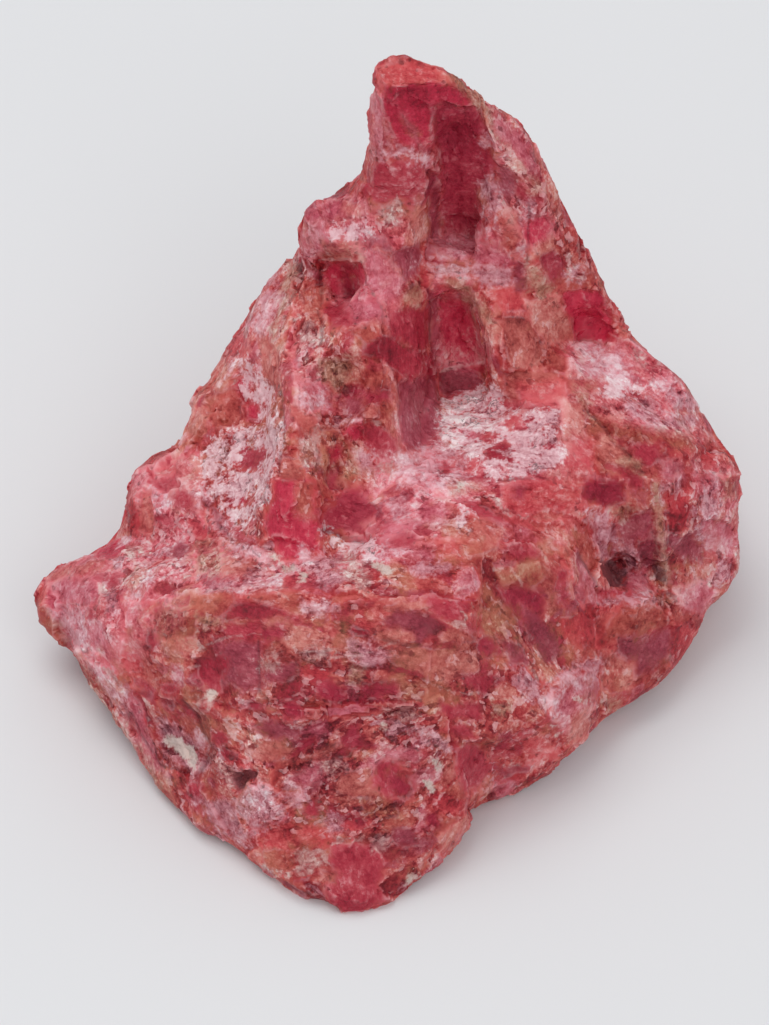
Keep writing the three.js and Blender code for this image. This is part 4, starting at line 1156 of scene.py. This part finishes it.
def stone_tints(tree, tone):
    """The colour of each kind at each place."""
    colours = {}
    for kind, tints in TINTS.items():
        strength = EDGES[kind][2] if kind in EDGES else 1.0
        calm = add(tree, "Math", [tone, strength, 0.5 * (1 - strength)], operation="MULTIPLY_ADD")
        colours[kind] = add(tree, "ValToRGB", [calm])
        stops = colours[kind].node.color_ramp.elements
        while len(stops) < len(tints):
            stops.new(0.5)
        for stop, place, tint in zip(stops, TONE_STEPS, tints):
            stop.position = place
            stop.color = linear(tint)
    return colours


def small_markings(tree, part, mask, ragged, clear):
    """How far each marking that is too small to chart covers the stone."""
    marking = {}
    marking["warmth"] = add(tree, "MapRange", [part["hue"], 0.5, 0.7, 0.0, 0.3])
    limits = [part["patch"], 0.52, 0.66, 0.0, 0.3]
    marking["stain"] = add(tree, "MapRange", limits, interpolation_type="SMOOTHSTEP")

    # branching black stains, in the dark parts of the crust
    dark = add(tree, "MapRange", [part["mid_2"], 0.46, 0.36], interpolation_type="SMOOTHSTEP")
    branches = add(tree, "Math", [part["small"], 0.5], operation="SUBTRACT")
    branches = add(tree, "Math", [branches], operation="ABSOLUTE")
    branches = add(tree, "MapRange", [branches, 0.05, 0.015, 0.0, 0.8])
    branches = add(tree, "Math", [branches, mask["crust"]], operation="MULTIPLY")
    marking["dendrites"] = add(tree, "Math", [branches, dark], operation="MULTIPLY")

    # black specks 1.2 mm apart, in patches
    specks = add(tree, "TexVoronoi", {0: part["at"], 2: 1 / 1.2})
    specks = add(tree, "MapRange", [specks, 0.24, 0.1, 0.0, 0.55])
    speckled = add(tree, "MapRange", [part["patch"], 0.43, 0.34])
    marking["specks"] = add(tree, "Math", [specks, speckled], operation="MULTIPLY")

    # bruised ridges, and the chipped edges of the windows
    limits = [part["ridge"], 0.05, 0.24, 0.0, 0.5]
    bruise = add(tree, "MapRange", limits, interpolation_type="SMOOTHSTEP")
    marking["bruise"] = add(tree, "Math", [bruise, part["small"]], operation="MULTIPLY")
    chips = add(tree, "Math", [ragged, 0.25, part["rim"]], operation="MULTIPLY_ADD")
    chips = add(tree, "Math", [chips, 0.05], operation="SUBTRACT")
    chips = add(tree, "Math", [chips], operation="ABSOLUTE")
    chips = add(tree, "MapRange", [chips, 0.3, 0.02])
    chipped = add(tree, "MapRange", [part["mid_2"], 0.48, 0.62, 0.0, 0.22])
    marking["chips"] = add(tree, "Math", [chips, chipped], operation="MULTIPLY")

    # sugary flecks, pale ones and dark ones, outside the clear windows
    dull = add(tree, "Math", [clear, -0.85, 1.0], operation="MULTIPLY_ADD")
    dull = add(tree, "Math", [dull, part["whole"]], operation="MULTIPLY")
    for name, lumps, loose, none, full, cover in (
        ("pale_flecks", "mid", 0.2, 1.36, 1.56, 0.5),
        ("dark_flecks", "mid_2", -0.1, 0.5, 0.36, 0.6),
    ):
        flecks = add(tree, "Math", [part[lumps], 0.9, part["middling_flake"]], operation="MULTIPLY_ADD")
        flecks = add(tree, "Math", [part["granular"], loose, flecks], operation="MULTIPLY_ADD")
        flecks = add(tree, "MapRange", [flecks, none, full, 0.0, cover])
        marking[name] = add(tree, "Math", [flecks, dull], operation="MULTIPLY")

    # cracks and pale veins
    for name, line, none, cover in (("joint", "crack", -0.16, 0.5), ("thread", "vein", -0.2, 0.45)):
        edge = add(tree, "Math", [ragged, 0.2, part[line]], operation="MULTIPLY_ADD")
        marking[name] = add(tree, "MapRange", [edge, none, 0.2, 0.0, cover])
    return marking


def rhodonite():
    """Massive rhodonite, broken by hand.

    Its flat cleavage faces are clear and deep red, and where it is crushed or grained it turns pink to
    white. Its colour also holds painted shade in hollows, pits and faces in shadow, painted light on
    ridges, and painted shading across each flake.
    """
    material = bpy.data.materials.new("rhodonite_broken_and_cleaved")
    material.use_nodes = True
    tree = material.node_tree
    shader = tree.nodes["Principled BSDF"]

    part = stone_parts(tree)
    showing = [part["granular"], GRAINS_SHOW_LOOSE, GRAINS_SHOW]
    showing = add(tree, "Math", showing, operation="MULTIPLY_ADD")
    showing = add(tree, "Math", [showing, part["whole"]], operation="MULTIPLY")
    ragged = -sum(RAGGED.values()) / 2
    for name, weight in RAGGED.items():
        ragged = add(tree, "Math", [part[name], weight, ragged], operation="MULTIPLY_ADD")
    mask = stone_masks(tree, part, ragged)
    clear = add(tree, "Math", [mask["crimson"], mask["plum_and_shade"]], operation="MAXIMUM")
    for kind in ("deep", "cerise"):
        clear = add(tree, "Math", [mask[kind], clear], operation="MAXIMUM")

    tint = stone_tints(tree, stone_tone(tree, part, showing))
    marking = small_markings(tree, part, mask, ragged, clear)
    layers = [(tint[kind], mask[kind]) for kind in ("rose_ground", "dusky_ground")]
    layers += [(tint["orange"], marking["warmth"]), (linear("#b58a62"), marking["stain"])]
    # the clear kinds; the darkest of them are partly painted shade on faces in shadow
    layers += [(tint[kind], mask[kind]) for kind in CLEAR_KINDS]
    layers += [
        (linear("#6a101e"), marking["dark_flecks"]),
        (linear("#e6b4b8"), marking["pale_flecks"]),
        (linear("#e6b4ba"), marking["chips"]),
        (linear("#e8b8bc"), marking["bruise"]),
    ]
    layers += [(tint[kind], mask[kind]) for kind in PALE_KINDS]
    layers += [
        (linear("#4c383a"), marking["dendrites"]),
        (linear("#dccec4"), mask["white"]),
        (linear("#ecd0cc"), marking["thread"]),
        (linear("#38201f"), marking["specks"]),
        (linear("#3e1218"), marking["joint"]),
        # the pits' dark colour is painted shade
        (linear("#66383e"), mask["shaded_pit"]),
    ]
    colour = tint["ground"]
    for over, amount in layers:
        colour = add(tree, "Mix", {0: amount, 6: colour, 7: over}, out=2, data_type="RGBA")

    # clear faces are glassier, and crust is duller
    rough = add(tree, "Math", [clear, -0.18, 0.5], operation="MULTIPLY_ADD")
    rough = add(tree, "Math", [mask["crust"], 0.25, rough], operation="MULTIPLY_ADD")
    shader.inputs["IOR"].default_value = 1.5
    shader.inputs["Specular IOR Level"].default_value = 0.22

    height = 0.0
    for name, weight in RELIEF.items():
        height = add(tree, "Math", [part[name], weight, height], operation="MULTIPLY_ADD")
    height = add(tree, "Math", [height, showing], operation="MULTIPLY")
    height = add(tree, "Math", [part["lines"], LINES_RELIEF, height], operation="MULTIPLY_ADD")
    seen = add(tree, "Math", [mask["crust"], RELIEF_FILLED, RELIEF_SEEN], operation="MULTIPLY_ADD")
    normal = add(tree, "Bump", {"Strength": seen, "Distance": MM, "Height": height})
    for name, value in (("Base Color", colour), ("Roughness", rough), ("Normal", normal)):
        tree.links.new(value, shader.inputs[name])
    return material


# ---- floor, light and camera ---------------------------------------------------------------------

FLOOR_RADIUS = 30  # m
SKY_STRENGTH = 0.72
# Where each softbox stands and how wide it is, in m, and its power in W. They face AIM.
SOFTBOXES = {
    "softbox_above": ((-0.3, 0.15, 1.1), 0.8, 4.4),
    "softbox_front": ((0.3, -1.0, 0.9), 0.8, 3.3),
}
AIM = (0, 0, 0.03)  # m
SENSOR_WIDTH = 36  # mm
SHARP = math.radians(28)  # edges sharper than this look broken, and the others look rounded


def build_floor():
    """A sheet of matt paper, which takes soft shadows and has no shine."""
    bpy.ops.mesh.primitive_circle_add(vertices=96, radius=FLOOR_RADIUS, fill_type="NGON")
    floor = bpy.context.object
    floor.name = "floor"
    paper = bpy.data.materials.new("matt_paper")
    paper.use_nodes = True
    shader = paper.node_tree.nodes["Principled BSDF"]
    shader.inputs["Base Color"].default_value = linear("#dfe1e2")
    shader.inputs["Roughness"].default_value = 0.9
    floor.data.materials.append(paper)


def build_light():
    """An even, pale sky and two softboxes."""
    world = bpy.data.worlds.new("studio")
    bpy.context.scene.world = world
    world.use_nodes = True
    world.node_tree.nodes["Background"].inputs["Color"].default_value = linear("#f4f3f6")
    world.node_tree.nodes["Background"].inputs["Strength"].default_value = SKY_STRENGTH
    for name, (place, size, power) in SOFTBOXES.items():
        light = bpy.data.lights.new(name, "AREA")
        light.size = size
        light.energy = power
        lamp = bpy.data.objects.new(name, light)
        lamp.location = place
        lamp.rotation_euler = (Vector(AIM) - Vector(place)).to_track_quat("-Z", "Y").to_euler()
        bpy.context.scene.collection.objects.link(lamp)


def build_camera():
    """A camera whose picture is the chart."""
    camera = bpy.data.cameras.new("camera")
    camera.sensor_width = SENSOR_WIDTH
    camera.lens = camera.sensor_width * SIGHT_DISTANCE * CHART_UNITS_PER_MM / CHART_HEIGHT
    holder = bpy.data.objects.new("camera", camera)
    holder.location = Vector((SIGHT_FOOT + TO_EYE * SIGHT_DISTANCE) * MM)
    holder.rotation_euler = Vector(-TO_EYE).to_track_quat("-Z", "Y").to_euler()
    bpy.context.scene.collection.objects.link(holder)
    bpy.context.scene.camera = holder


# ---- the specimen --------------------------------------------------------------------------------

stone = build_stone(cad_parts["rhodonite"])
stone.data.materials.clear()
stone.data.materials.append(rhodonite())
stone.data.set_sharp_from_angle(angle=SHARP)
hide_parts("rhodonite")
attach(stone, "root")
build_floor()
build_light()
build_camera()
bpy.context.scene.view_settings.view_transform = "Standard"
